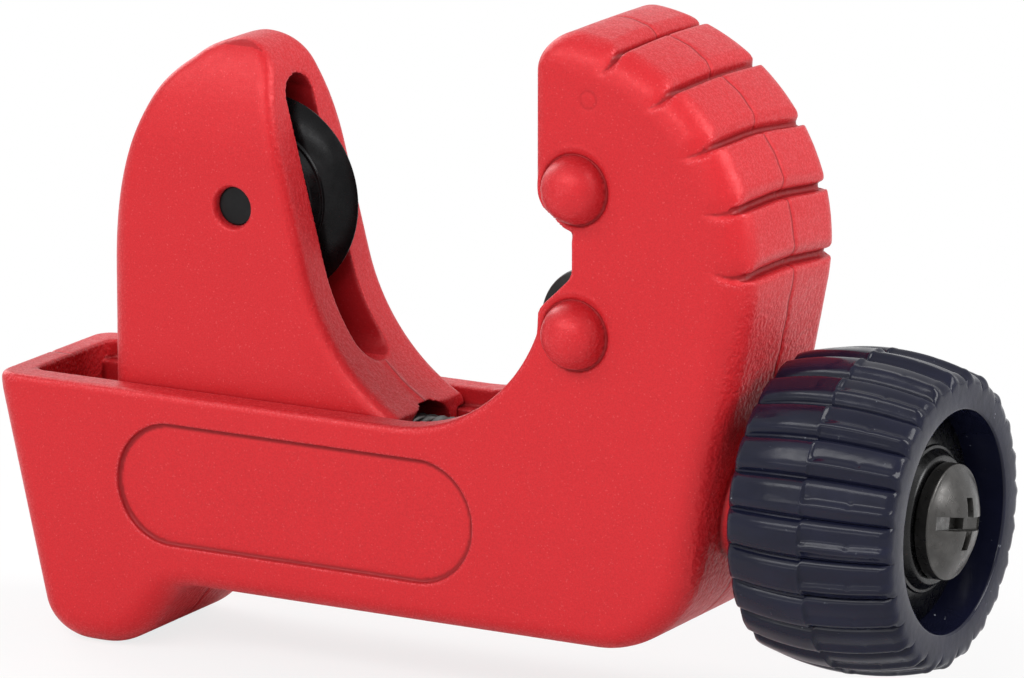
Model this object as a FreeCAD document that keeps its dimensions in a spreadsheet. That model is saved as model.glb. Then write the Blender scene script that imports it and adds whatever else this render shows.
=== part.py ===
import FreeCAD, Part

# Small C-frame pipe cutter for tube of 3 to 28 mm outer diameter. All sizes are in millimetres.
#
# The cast frame stands on its heel. Its channel runs along X with the knob at +X, the side with
# the plain oval panel faces -Y, and +Z is up. The origin lies under the middle of the whole
# tool, on the plane of the heel. The cutting wheel rides in a carriage that the spindle draws
# along the channel towards the two rollers in the jaw.

import math
import os

import Sketcher
from FreeCAD import Placement, Rotation, Vector

PARTS_FOLDER = "parts"

# Driving dimensions. Heights are above the heel, and lengths run from the frame's closed end.
DIMENSIONS = {
    # cast frame, side view
    "body_length": 73.4,
    "body_width": 18.0,
    "wall_height": 23.5,
    "underside_height": 6.4,
    "end_slant_height": 22.3,
    "heel_start": 5.2,
    "heel_end": 13.4,
    "heel_blend": 18.3,
    "end_bend_radius": 8.0,
    "heel_back_radius": 4.5,
    "heel_front_radius": 6.5,
    "heel_blend_radius": 4.0,
    "base_corner_radius": 9.6,
    "back_lean": 0.2,
    "jaw_radius": 18.7,
    "jaw_overhang": 0.4,
    "jaw_centre_rise": 0.3,
    "jaw_tip_length": 1.25,
    "jaw_tip_radius": 3.2,
    "mouth_setback": 19.1,
    "throat_drop": 1.5,
    "throat_inset": 0.7,
    "notch_depth": 3.2,
    "notch_mouth": 9.2,
    "notch_floor": 3.2,
    "notch_radius": 1.5,
    # cast frame, rounded edges
    "shoulder_radius": 2.8,
    "mouth_edge_radius": 1.2,
    "base_edge_radius": 1.8,
    "heel_edge_radius": 2.6,
    "end_edge_radius": 2.0,
    "wall_edge_radius": 0.6,
    # channel and jaw slot
    "channel_width": 12.6,
    "channel_corner_radius": 1.2,
    "end_wall": 2.5,
    "bearing_wall": 10.4,
    "floor_thickness": 2.6,
    "ledge_height": 21.8,
    "ledge_width": 1.3,
    "jaw_slot_clearance": 1.0,
    # grip grooves on the jaw's back
    "groove_count": 5,
    "groove_first_angle": 19.2,
    "groove_pitch_angle": 18.0,
    "groove_depth": 0.95,
    "groove_lead": 1.7,
    "groove_lead_radius": 2.4,
    "groove_land": 0.6,
    # panel and roller bosses on the near side
    "panel_middle": 30.3,
    "panel_height": 15.5,
    "panel_length": 35.2,
    "panel_width": 10.7,
    "panel_depth": 0.35,
    "boss_radius": 3.3,
    "boss_skirt": 0.35,
    "boss_dome_radius": 2.8,
    "boss_rise": 2.7,
    "bearing_boss_radius": 5.5,
    # rollers
    "wheel_height": 40.0,
    "roller_setback": 15.55,
    "roller_spacing": 12.4,
    "roller_radius": 5.0,
    "roller_side_gap": 0.15,
    "roller_relief_radius": 4.4,
    "roller_relief_width": 3.4,
    "roller_edge": 0.4,
    "roller_pin_radius": 1.6,
    "roller_pin_cover": 0.7,
    # carriage, side view, from the wheel's axis
    "wheel_rest": 22.7,
    "carriage_back": 12.65,
    "carriage_back_straight": 7.0,
    "carriage_back_radius": 33.0,
    "carriage_top": 14.3,
    "carriage_crown_radius": 10.6,
    "carriage_nose_radius": 3.8,
    "carriage_front": 5.68,
    "carriage_front_slope": 0.261,
    "carriage_throat_drop": 0.5,
    "carriage_throat_margin": 2.3,
    "carriage_toe_height": 1.2,
    "carriage_front_edge_radius": 1.2,
    "carriage_back_edge_radius": 2.2,
    "carriage_arch_start": 4.0,
    "carriage_arch_side_radius": 16.0,
    "carriage_arch_rise": 0.4,
    "slide_gap": 0.2,
    "wheel_slot_width": 4.3,
    "wheel_slot_rise": 10.9,
    "wheel_slot_foot": 3.5,
    "wheel_slot_clearance": 0.9,
    "wheel_slot_corner": 2.0,
    "nut_relief_radius": 4.1,
    "nut_relief_depth": 10.0,
    # cutting wheel and its axle screw
    "wheel_radius": 9.0,
    "wheel_edge": 0.12,
    "wheel_web": 1.9,
    "wheel_hub_radius": 6.2,
    "wheel_hub_face_radius": 5.4,
    "wheel_hub_width": 4.0,
    "axle_radius": 1.95,
    "axle_end_recess": 0.3,
    "axle_head_radius": 3.2,
    "axle_head_height": 1.5,
    # spindle and its clip and washer
    "spindle_height": 19.4,
    "spindle_radius": 3.0,
    "spindle_reach": 12.0,
    "spindle_tip_chamfer": 0.6,
    "spindle_flats": 5.0,
    "spindle_end_setback": 0.8,
    "clip_groove_radius": 2.3,
    "clip_radius": 4.0,
    "clip_thickness": 0.7,
    "clip_opening": 3.4,
    "washer_radius": 6.0,
    "washer_thickness": 1.0,
    # knob
    "knob_gap": 0.5,
    "knob_length": 15.1,
    "knob_radius": 13.7,
    "knob_widest": 7.4,
    "knob_barrel_radius": 24.0,
    "knob_rib_end": 13.9,
    "knob_brow_radius": 2.2,
    "knob_ring_radius": 11.6,
    "knob_recess_radius": 9.4,
    "knob_recess_floor": 9.6,
    "knob_rim_chamfer": 0.3,
    "knob_rear_pocket_radius": 6.6,
    "knob_rear_pocket_depth": 0.6,
    "knob_rib_count": 24,
    "knob_groove_width": 2.4,
    "knob_groove_depth": 0.8,
    "knob_rib_shoulder_radius": 1.8,
    # screw that holds the knob and the spare wheel
    "screw_radius": 1.95,
    "screw_length": 11.0,
    "screw_head_radius": 4.9,
    "screw_head_skirt": 1.3,
    "screw_head_dome": 1.6,
    "screw_slot_width": 1.5,
    "screw_slot_length": 8.6,
    "screw_slot_depth": 1.4,
    "screw_cross_length": 4.4,
    "screw_cross_width": 1.4,
    # fits
    "running_gap": 0.05,
    "seat_gap": 0.1,
    "press_gap": 0.01,
}

ALONG_X, ALONG_Y = Vector(1, 0, 0), Vector(0, 1, 0)
# How a sketch lies in each view, what it is extruded along, and the name of that axis. The
# sketch's y is +Z in both views, and its x is +X seen from the side and +Y seen from the front.
SIDE_VIEW = (Rotation(Vector(1, 0, 0), 90), ALONG_Y, "y")
FRONT_VIEW = (Rotation(Vector(1, 1, 1), 120), ALONG_X, "x")
TOOL_OVERSHOOT = 1.0  # how far a cutting tool stands out of what it cuts
RIB_GROOVE_SWEEP = 60.0  # degrees about the barrel's centre, longer than the knob
LEFT_TURN, RIGHT_TURN = 1, -1


class Size:
    """A length that carries both its value and the expression that ties it to the sheet."""

    def __init__(self, value, text):
        self.value = float(value)
        self.text = text

    def _join(self, sign, other, value):
        other_text = other.text if isinstance(other, Size) else repr(float(other))
        return Size(value, f"({self.text} {sign} {other_text})")

    def __add__(self, other):
        return self._join("+", other, self.value + float(other))

    def __sub__(self, other):
        return self._join("-", other, self.value - float(other))

    def __mul__(self, other):
        return self._join("*", other, self.value * float(other))

    def __truediv__(self, other):
        return self._join("/", other, self.value / float(other))

    def __neg__(self):
        return Size(-self.value, f"(-{self.text})")

    def __float__(self):
        return self.value

    def squared(self):
        return self * self

    def root(self):
        return Size(math.sqrt(self.value), f"sqrt({self.text})")


ZERO = Size(0.0, "0")


class Sizes:
    """The sheet's cells as sizes, with the places that follow from them."""

    def __init__(self, sheet):
        self._sheet = sheet

    def __getattr__(self, name):
        return Size(self._sheet.get(name), f"{self._sheet.Name}.{name}")

    @property
    def screw_seat(self):
        """Length along the tool of the face that the knob's screw bears on."""
        return self.knob_start + self.knob_recess_floor + self.wheel_hub_width

    @property
    def knob_start(self):
        return self.body_length + self.knob_gap

    @property
    def knob_seat(self):
        """Where the knob's hub meets the shoulder of the spindle's flats."""
        return self.knob_start + self.knob_rear_pocket_depth

    @property
    def start(self):
        """World x of the frame's closed end, with the whole tool centred on the origin."""
        return -((self.screw_seat + self.screw_head_skirt + self.screw_head_dome) / 2)

    @property
    def jaw_centre(self):
        """The middle of the jaw's round back, as (length along the tool, height)."""
        along = self.body_length + self.jaw_overhang - self.jaw_radius
        return along, self.wheel_height + self.jaw_centre_rise

    @property
    def throat_radius(self):
        return self.wheel_height - self.throat_drop - self.wall_height

    @property
    def jaw_slot_top(self):
        roller_top = self.wheel_height + self.roller_spacing / 2 + self.roller_radius
        return roller_top + self.jaw_slot_clearance

    @property
    def bearing_face(self):
        return self.body_length - self.bearing_wall

    @property
    def channel_floor(self):
        return self.underside_height + self.floor_thickness

    @property
    def roller_along(self):
        return self.body_length - self.roller_setback

    @property
    def spindle_start(self):
        return self.wheel_rest - self.spindle_reach

    @property
    def carriage_half_width(self):
        return self.channel_width / 2 - self.slide_gap

    @property
    def carriage_bottom(self):
        """How far the carriage's seat on the ledges lies below the wheel's axis."""
        return self.wheel_height - self.ledge_height - self.slide_gap

    @property
    def carriage_toe_drop(self):
        return self.carriage_bottom - self.carriage_toe_height

    @property
    def spindle_drop(self):
        """How far the spindle's axis lies below the wheel's."""
        return self.wheel_height - self.spindle_height


def make_sheet(doc):
    """The sheet of driving dimensions, one row for each."""
    sheet = doc.addObject("Spreadsheet::Sheet", "Dimensions")
    for row, (name, value) in enumerate(DIMENSIONS.items(), start=1):
        sheet.set(f"A{row}", name)
        sheet.set(f"B{row}", str(value))
        sheet.setAlias(f"B{row}", name)
    doc.recompute()
    return sheet


def bind(item, prop, size):
    item.setExpression(prop, size.text)


def place(item, x, y, z):
    """Ties an object's place to the sheet."""
    for axis, size in zip("xyz", (x, y, z)):
        bind(item, f"Placement.Base.{axis}", size)


# Sketches


class Pen:
    """Draws outlines in a sketch and ties every corner and radius to the sheet."""

    def __init__(self, sketch):
        self.sketch = sketch

    def _dimension(self, size, *constraint):
        index = self.sketch.addConstraint(Sketcher.Constraint(*constraint, size.value))
        self.sketch.setExpression(f"Constraints[{index}]", size.text)

    def pin(self, curve, end, point):
        self._dimension(point[0], "DistanceX", -1, 1, curve, end)
        self._dimension(point[1], "DistanceY", -1, 1, curve, end)

    def _join(self, one, other):
        self.sketch.addConstraint(Sketcher.Constraint("Coincident", *one, *other))

    def _line(self, a, b):
        return self.sketch.addGeometry(Part.LineSegment(a, b)), (1, 2)

    def _arc(self, a, b, radius, turn):
        """The shorter arc between two points, with its centre to the left of a left turn."""
        half = (b - a).Length / 2
        rise = math.sqrt(max(radius.value**2 - half**2, 0.0))
        left = Vector(a.y - b.y, b.x - a.x, 0).normalize()
        centre = (a + b) * 0.5 + left * (rise * turn)
        angles = [math.atan2(p.y - centre.y, p.x - centre.x) for p in (a, b)][::turn]
        circle = Part.Circle(centre, Vector(0, 0, 1), radius.value)
        curve = self.sketch.addGeometry(Part.ArcOfCircle(circle, *angles))
        self._dimension(radius, "Radius", curve)
        return curve, (1, 2)[::turn]

    def outline(self, start, *steps):
        """A closed outline. A step is (corner,) for a line, or (corner, radius, turn)."""
        here, joints = start, []
        for there, *bend in steps:
            a, b = (Vector(float(x), float(y), 0) for x, y in (here, there))
            curve, (first, last) = self._arc(a, b, *bend) if bend else self._line(a, b)
            self.pin(curve, last, there)
            joints.append(((curve, first), (curve, last)))
            here = there
        for (_, end), (begin, _) in zip(joints, joints[1:] + joints[:1]):
            self._join(end, begin)

    def polygon(self, *corners):
        self.outline(corners[-1], *[(corner,) for corner in corners])

    def stadium(self, centre, length, width):
        """A slot with round ends that lies along the sketch's x."""
        x, y = centre
        reach, radius = (length - width) / 2, width / 2
        caps = []
        for side, turn in ((reach, -math.pi / 2), (-reach, math.pi / 2)):
            middle = (x + side, y)
            circle = Part.Circle(Vector(*map(float, middle), 0), Vector(0, 0, 1), radius.value)
            cap = self.sketch.addGeometry(Part.ArcOfCircle(circle, turn, turn + math.pi))
            self.pin(cap, 3, middle)
            self._dimension(radius, "Radius", cap)
            caps.append((cap, circle.value(turn), circle.value(turn + math.pi)))
        for (one, _, leave), (other, arrive, _) in zip(caps, reversed(caps)):
            side, _ = self._line(leave, arrive)
            self.sketch.addConstraint(Sketcher.Constraint("Tangent", one, 2, side, 1))
            self.sketch.addConstraint(Sketcher.Constraint("Tangent", side, 2, other, 1))


# Solids from primitives and booleans


def prism(doc, name, draw, width, middle=ZERO, view=SIDE_VIEW):
    """A solid of the outline drawn in a view, with its width about a middle plane."""
    rotation, along, axis = view
    sketch = doc.addObject("Sketcher::SketchObject", name + "_outline")
    sketch.Placement = Placement(Vector(), rotation)
    bind(sketch, f"Placement.Base.{axis}", middle)
    draw(Pen(sketch))
    solid = doc.addObject("Part::Extrusion", name)
    solid.Base = sketch
    solid.DirMode = "Custom"
    solid.Dir = along
    solid.Solid = True
    solid.Symmetric = True
    bind(solid, "LengthFwd", width)
    return solid


def block(doc, name, x_span, y_span, z_span):
    """A box between pairs of x, y and z."""
    box = doc.addObject("Part::Box", name)
    for prop, (low, high) in zip(("Length", "Width", "Height"), (x_span, y_span, z_span)):
        bind(box, prop, high - low)
    place(box, x_span[0], y_span[0], z_span[0])
    return box


def centred(width):
    """The span of a width about the middle plane."""
    return -(width / 2), width / 2


def rod(doc, name, direction, radius, length, at):
    """A cylinder that starts at a point and runs along a direction."""
    cylinder = doc.addObject("Part::Cylinder", name)
    cylinder.Placement = Placement(Vector(), Rotation(Vector(0, 0, 1), direction))
    bind(cylinder, "Radius", radius)
    bind(cylinder, "Height", length)
    place(cylinder, *at)
    return cylinder


def fuse(doc, name, solids):
    joined = doc.addObject("Part::MultiFuse", name)
    joined.Shapes = solids
    return joined


def cut(doc, name, base, tools):
    """The base less all the tools."""
    result = doc.addObject("Part::Cut", name)
    result.Base = base
    result.Tool = fuse(doc, name + "_tools", tools) if len(tools) > 1 else tools[0]
    result.Refine = True
    return result


def fillet(doc, name, base, radii):
    """Rounds edges. radii(edge) gives the radius at each of the edge's ends, or None."""
    doc.recompute()
    rounded = doc.addObject("Part::Fillet", name)
    rounded.Base = base
    pairs = [(number, radii(edge)) for number, edge in enumerate(base.Shape.Edges, start=1)]
    rounded.Edges = [(number, *pair) for number, pair in pairs if pair]
    return rounded


def ends(edge):
    return edge.valueAt(edge.FirstParameter), edge.valueAt(edge.LastParameter)


def middle_of(edge):
    return edge.valueAt((edge.FirstParameter + edge.LastParameter) / 2)


def corner_radii(corners):
    """For fillet(): the radius of each straight edge along Y that stands at a listed (x, z)."""

    def radii(edge):
        a, b = ends(edge)
        if abs(a.x - b.x) + abs(a.z - b.z) > 1e-6:
            return None
        for (x, z), radius in corners:
            if math.hypot(a.x - float(x), a.z - float(z)) < 1e-4:
                return (float(radius),) * 2
        return None

    return radii


# Parametric bodies


def origin_item(body, role):
    return next(item for item in body.Origin.OriginFeatures if item.Role == role)


def sketch_on(body, role, name):
    """A sketch on one of the body's own origin planes."""
    sketch = body.newObject("Sketcher::SketchObject", name)
    sketch.AttachmentSupport = [(origin_item(body, role), "")]
    sketch.MapMode = "FlatFace"
    return sketch


def turned(doc, label, draw, about="X"):
    """A body turned about its own X or Y axis. draw(pen, spot) gets the sketch's pen and a
    function from (length along the axis, radius) to a point of the sketch."""
    body = doc.addObject("PartDesign::Body", label)
    plane, spot = {
        "X": ("XZ_Plane", lambda along, radius: (along, radius)),
        "Y": ("XY_Plane", lambda along, radius: (radius, along)),
    }[about]
    sketch = sketch_on(body, plane, label + "_profile")
    draw(Pen(sketch), spot)
    revolution = body.newObject("PartDesign::Revolution", label + "_turned")
    revolution.Profile = sketch
    revolution.ReferenceAxis = (origin_item(body, about + "_Axis"), [""])
    revolution.Angle = 360.0
    body.Tip = revolution
    return body


def cuts_into(body, feature):
    """Makes a cutting feature the body's tip, once it is known to take material away."""
    before = body.Shape.Volume
    body.Tip = feature
    body.Document.recompute()
    if not body.Shape.Volume < before - 1e-6:
        raise RuntimeError(f"{feature.Name} cuts nothing")


# Outline geometry


def unit_across(slope):
    """The unit direction (x, z) across a line that leans by slope from the upright."""
    secant = (slope.squared() + 1.0).root()
    return Size(1.0, "1") / secant, slope / secant


def corner_arc(centre, big, normal, reach, radius, side):
    """Where an arc that rounds the corner between a line and a circle meets each of them.

    The line's unit normal points out of the shape, to the side that is +1 for +X, and the line
    lies at its reach along the normal. The arc is at the line's upper end.
    """
    out = reach - centre[0] * normal[0] - centre[1] * normal[1] - radius
    up = ((big - radius).squared() - out.squared()).root() * side
    offset = (normal[0] * out - normal[1] * up, normal[1] * out + normal[0] * up)
    on_line = tuple(c + o + n * radius for c, o, n in zip(centre, offset, normal))
    on_circle = tuple(c + o * (big / (big - radius)) for c, o in zip(centre, offset))
    return on_line, on_circle


# The cast frame


def frame_corners(s):
    """The frame's corners in its side view, by name."""
    jaw_x, jaw_z = s.jaw_centre
    lean_x, lean_z = unit_across(s.back_lean)
    side_x, side_z = jaw_x + s.jaw_radius * lean_x, jaw_z - s.jaw_radius * lean_z
    tip_x = jaw_x - s.jaw_tip_length
    leftward = (Size(-1.0, "-1"), ZERO)
    tip, top = corner_arc(s.jaw_centre, s.jaw_radius, leftward, -tip_x, s.jaw_tip_radius, -1)
    mouth_x = s.body_length - s.mouth_setback
    notch_x = mouth_x + s.notch_depth
    throat_reach = s.throat_radius - s.throat_inset
    throat_x, throat_z = mouth_x - throat_reach, s.wheel_height - s.throat_drop
    throat_rise = (s.throat_radius.squared() - throat_reach.squared()).root()
    return {
        "end top": (ZERO, s.wall_height),
        "end bend": (ZERO, s.end_slant_height),
        "heel back": (s.heel_start, ZERO),
        "heel front": (s.heel_end, ZERO),
        "heel blend": (s.heel_blend, s.underside_height),
        "base corner": (side_x - s.back_lean * (side_z - s.underside_height), s.underside_height),
        "jaw side": (side_x, side_z),
        "jaw top": top,
        "jaw tip": tip,
        "notch upper": (tip_x, s.wheel_height + s.notch_mouth / 2),
        "notch upper floor": (notch_x, s.wheel_height + s.notch_floor / 2),
        "notch lower floor": (notch_x, s.wheel_height - s.notch_floor / 2),
        "notch lower": (mouth_x, s.wheel_height - s.notch_mouth / 2),
        "throat end": (mouth_x, throat_z - throat_rise),
        "throat start": (throat_x, s.wall_height),
    }


def frame_blank(doc, s):
    """The frame's outer shape: its side outline with rounded corners, shoulders and edges."""
    at = frame_corners(s)

    def draw(pen):
        bends = {
            "jaw top": (s.jaw_radius, LEFT_TURN),
            "jaw tip": (s.jaw_tip_radius, LEFT_TURN),
            "throat start": (s.throat_radius, RIGHT_TURN),
        }
        steps = [(corner, *bends.get(name, ())) for name, corner in at.items()]
        pen.outline(at["throat start"], *steps)

    blank = prism(doc, "frame_profile", draw, s.body_width)
    corners = [
        (at["end bend"], s.end_bend_radius),
        (at["heel back"], s.heel_back_radius),
        (at["heel front"], s.heel_front_radius),
        (at["heel blend"], s.heel_blend_radius),
        (at["base corner"], s.base_corner_radius),
    ]
    blank = fillet(doc, "frame_corners", blank, corner_radii(corners))
    blank = fillet(doc, "frame_shoulders", blank, shoulder_radii(s, at))
    notch = [(corner, s.notch_radius) for name, corner in at.items() if name.startswith("notch")]
    blank = fillet(doc, "frame_notch", blank, corner_radii(notch))
    return fillet(doc, "frame_walls", blank, wall_radii(s))


def shoulder_radii(s, at):
    """The soft edges round the back: wide beside the jaw, narrow along the base and the mouth."""
    half = s.body_width.value / 2
    top_x, tip_x, heel_x = (float(at[name][0]) for name in ("jaw top", "jaw tip", "heel back"))
    tip_z, base_z = float(at["jaw tip"][1]), s.underside_height.value
    back_x = s.jaw_centre[0].value + s.jaw_radius.value / 2

    def at_point(point):
        if point.z > s.wheel_height.value and point.x < top_x - 1e-3:
            return s.mouth_edge_radius.value
        if point.z > base_z + 1e-3 and point.x > heel_x:
            return s.shoulder_radius.value
        if point.x < heel_x:
            return s.end_edge_radius.value
        return (s.heel_edge_radius if point.z < base_z - 1e-3 else s.base_edge_radius).value

    def radii(edge):
        a, b = ends(edge)
        middle = middle_of(edge)
        on_side = abs(abs(a.y) - half) < 1e-6 and abs(a.y - b.y) < 1e-6
        below_wall = middle.z < s.wall_height.value - 1e-3
        on_tip = min(a.z, b.z) > tip_z - 1e-3
        on_mouth = max(a.x, b.x) < tip_x + 1e-3 and middle.z > s.wheel_height.value
        if on_side and (below_wall or middle.x > back_x or on_tip or on_mouth):
            return at_point(a), at_point(b)
        return None

    return radii


def wall_radii(s):
    """The top edge of the channel's walls, up the throat to the mouth."""
    mouth_x = s.body_length.value - s.mouth_setback.value
    low, high = s.wall_height.value, s.wheel_height.value - s.notch_mouth.value / 2

    def radii(edge):
        a, b = ends(edge)
        middle = middle_of(edge)
        flat_top = abs(a.z - low) < 1e-6 and abs(b.z - low) < 1e-6
        on_side = abs(abs(a.y) - s.body_width.value / 2) < 1e-6 and abs(a.y - b.y) < 1e-6
        throat = on_side and low < middle.z < high and middle.x < mouth_x
        crosswise = abs(a.x - b.x) < 1e-6 and abs(a.y - b.y) > 1.0
        if (flat_top and not (crosswise and a.x > 1.0)) or throat:
            return (s.wall_edge_radius.value,) * 2
        return None

    return radii


def channel_tools(doc, s):
    """What is cut from the frame: the channel, its narrower bed and the slot in the jaw."""
    left, right = s.end_wall, s.bearing_face
    above = s.wheel_height - s.throat_drop
    bed_width = s.channel_width - s.ledge_width * 2

    def draw(pen):
        pen.polygon(
            (left, s.ledge_height),
            (right, s.ledge_height),
            (right, s.jaw_slot_top),
            (s.wheel_rest, s.jaw_slot_top),
            (s.wheel_rest, above),
            (left, above),
        )

    channel = prism(doc, "channel_and_slot", draw, s.channel_width)

    def end_corners(edge):
        a, b = ends(edge)
        at_end = abs(a.x - left.value) < 1e-6 and abs(b.x - left.value) < 1e-6
        upright = abs(a.y - b.y) < 1e-6
        return (s.channel_corner_radius.value,) * 2 if at_end and upright else None

    rounded = fillet(doc, "channel_corners", channel, end_corners)
    bed = block(doc, "channel_bed", (left, right), centred(bed_width),
                (s.channel_floor, s.ledge_height + TOOL_OVERSHOOT))  # fmt: skip
    bore = rod(doc, "spindle_bore", ALONG_X, s.spindle_radius + s.running_gap,
               s.bearing_wall + TOOL_OVERSHOOT * 2,
               (right - TOOL_OVERSHOOT, ZERO, s.spindle_height))  # fmt: skip
    return [rounded, bed, bore]


def pin_spans(s):
    """Where the roller pins start and end across the frame."""
    return -(s.body_width / 2) + s.roller_pin_cover, s.body_width / 2 - s.seat_gap


def roller_heights(s):
    """The rollers' heights, by name."""
    return {
        "upper": s.wheel_height + s.roller_spacing / 2,
        "lower": s.wheel_height - s.roller_spacing / 2,
    }


def pin_holes(doc, s):
    """Holes for the roller pins: blind under the bosses, open on the far side."""
    near, _ = pin_spans(s)
    radius = s.roller_pin_radius + s.press_gap
    length = s.body_width / 2 - near + TOOL_OVERSHOOT
    return [
        rod(doc, f"{name}_pin_hole", ALONG_Y, radius, length, (s.roller_along, near, height))
        for name, height in roller_heights(s).items()
    ]


def panel_recess(doc, s):
    """The shallow oval field on the near side."""

    def draw(pen):
        pen.stadium((s.panel_middle, s.panel_height), s.panel_length, s.panel_width)

    return prism(doc, "panel_recess", draw, s.panel_depth * 2, -(s.body_width / 2))


def grip_grooves(doc, s):
    """Stepped grooves across the jaw's back, each with a soft lead and a steep land."""
    jaw_x, jaw_z = s.jaw_centre
    rim, floor = s.jaw_radius, s.jaw_radius - s.groove_depth

    def draw(pen):
        pen.outline(
            (-s.groove_lead, rim + TOOL_OVERSHOOT),
            ((-s.groove_lead, rim),),
            ((ZERO, floor), s.groove_lead_radius, RIGHT_TURN),
            ((s.groove_land, rim),),
            ((s.groove_land, rim + TOOL_OVERSHOOT),),
            ((-s.groove_lead, rim + TOOL_OVERSHOOT),),
        )

    grooves = []
    for number in range(round(s.groove_count.value)):
        groove = prism(doc, f"grip_groove_{number + 1}", draw, s.body_width + TOOL_OVERSHOOT)
        angle = s.groove_first_angle + s.groove_pitch_angle * number
        groove.Placement = Placement(Vector(), Rotation(ALONG_Y, angle.value))
        bind(groove, "Placement.Rotation.Angle", angle)
        place(groove, jaw_x, ZERO, jaw_z)
        grooves.append(groove)
    return grooves


def roller_bosses(doc, s):
    """Domes on low round pads, over the blind ends of the roller pins."""
    side = -(s.body_width / 2)
    dome_rise = s.boss_rise - s.boss_skirt
    sphere_radius = (s.boss_dome_radius.squared() + dome_rise.squared()) / (dome_rise * 2)
    bosses = []
    for name, height in roller_heights(s).items():
        dome = doc.addObject("Part::Sphere", f"{name}_boss_dome")
        bind(dome, "Radius", sphere_radius)
        place(dome, s.roller_along, side - s.boss_rise + sphere_radius, height)
        pad = rod(doc, f"{name}_boss_pad", ALONG_Y, s.boss_radius, s.boss_skirt + s.roller_pin_cover / 2,
                  (s.roller_along, side - s.boss_skirt, height))  # fmt: skip
        bosses += [dome, pad]
    return bosses


def bearing_boss(doc, s):
    """The round boss about the spindle that the thrust washer bears on."""
    return rod(doc, "bearing_boss", ALONG_X, s.bearing_boss_radius, s.bearing_wall,
               (s.bearing_face, ZERO, s.spindle_height))  # fmt: skip


def make_body(doc, s):
    bosses = [*roller_bosses(doc, s), bearing_boss(doc, s)]
    solid = fuse(doc, "frame_with_bosses", [frame_blank(doc, s), *bosses])
    tools = [*channel_tools(doc, s), *pin_holes(doc, s), panel_recess(doc, s), *grip_grooves(doc, s)]
    body = cut(doc, "body", solid, tools)
    place(body, s.start, ZERO, ZERO)
    return body


# Rollers and their pins


def make_rollers(doc, s):
    """Two relieved rollers, each turning on a pin across the jaw."""
    half = s.channel_width / 2 - s.roller_side_gap
    bore = s.roller_pin_radius + s.running_gap
    relief = s.roller_relief_width / 2
    step = s.roller_radius - s.roller_relief_radius
    near, far = pin_spans(s)

    def draw_roller(pen, spot):
        pen.polygon(
            spot(-half, bore),
            spot(-half, s.roller_radius - s.roller_edge),
            spot(-half + s.roller_edge, s.roller_radius),
            spot(-relief - step, s.roller_radius),
            spot(-relief, s.roller_relief_radius),
            spot(relief, s.roller_relief_radius),
            spot(relief + step, s.roller_radius),
            spot(half - s.roller_edge, s.roller_radius),
            spot(half, s.roller_radius - s.roller_edge),
            spot(half, bore),
        )

    def draw_pin(pen, spot):
        edge = s.seat_gap * 2
        pen.polygon(
            spot(near, ZERO),
            spot(near, s.roller_pin_radius),
            spot(far - edge, s.roller_pin_radius),
            spot(far, s.roller_pin_radius - edge),
            spot(far, ZERO),
        )

    made = []
    for name, height in roller_heights(s).items():
        roller = turned(doc, f"{name}_roller", draw_roller, about="Y")
        pin = turned(doc, f"{name}_roller_pin", draw_pin, about="Y")
        for item in (roller, pin):
            place(item, s.start + s.roller_along, ZERO, height)
        made += [roller, pin]
    return made


# The carriage, drawn from the wheel's axis


def carriage_outline(s):
    """Steps round the carriage's side view above the ledges, from its lower back corner."""
    across = unit_across(s.carriage_front_slope)
    front_reach = s.carriage_front * across[0]
    toe_fall = s.carriage_toe_drop - s.carriage_throat_drop
    throat_radius = toe_fall + s.carriage_throat_margin
    throat_z = -s.carriage_throat_drop
    throat_x = (front_reach + throat_radius - throat_z * across[1]) / across[0]
    toe_x = throat_x - (throat_radius.squared() - toe_fall.squared()).root()
    front_low = (throat_x - across[0] * throat_radius, throat_z - across[1] * throat_radius)
    back = (s.carriage_back_radius - s.carriage_back, -s.carriage_back_straight)
    crown_z = s.carriage_top - s.carriage_crown_radius
    span = s.carriage_back_radius - s.carriage_crown_radius
    crown_x = back[0] - (span.squared() - (crown_z - back[1]).squared()).root()
    reach = s.carriage_back_radius / span
    shoulder = (back[0] - (back[0] - crown_x) * reach, back[1] + (crown_z - back[1]) * reach)
    nose, crown = corner_arc((crown_x, crown_z), s.carriage_crown_radius, across, front_reach,
                             s.carriage_nose_radius, 1)  # fmt: skip
    return {
        "toe bottom": ((toe_x, -s.carriage_bottom),),
        "toe": ((toe_x, -s.carriage_toe_drop),),
        "front low": (front_low, throat_radius, RIGHT_TURN),
        "nose": (nose,),
        "crown": (crown, s.carriage_nose_radius, LEFT_TURN),
        "shoulder": (shoulder, s.carriage_crown_radius, LEFT_TURN),
        "back": ((-s.carriage_back, back[1]), s.carriage_back_radius, LEFT_TURN),
        "back bottom": ((-s.carriage_back, -s.carriage_bottom),),
    }


def carriage_arch(doc, s, along):
    """The carriage seen from the front: upright sides under an arch a little above its crown."""
    half, side = s.carriage_half_width, s.carriage_arch_side_radius
    base = s.carriage_arch_start
    top = s.carriage_top + s.carriage_arch_rise
    rise, inset = top - base, side - half
    crown = (side.squared() - inset.squared() - rise.squared()) / ((side - rise) * 2)
    reach = side / (side - crown)
    meet_y, meet_z = inset * reach - inset, base + (rise - crown) * reach

    def draw(pen):
        pen.outline(
            (-half, -s.carriage_bottom),
            ((half, -s.carriage_bottom),),
            ((half, base),),
            ((meet_y, meet_z), side, LEFT_TURN),
            ((-meet_y, meet_z), crown, LEFT_TURN),
            ((-half, base), side, LEFT_TURN),
            ((-half, -s.carriage_bottom),),
        )

    return prism(doc, "carriage_arch", draw, along, view=FRONT_VIEW)


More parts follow.
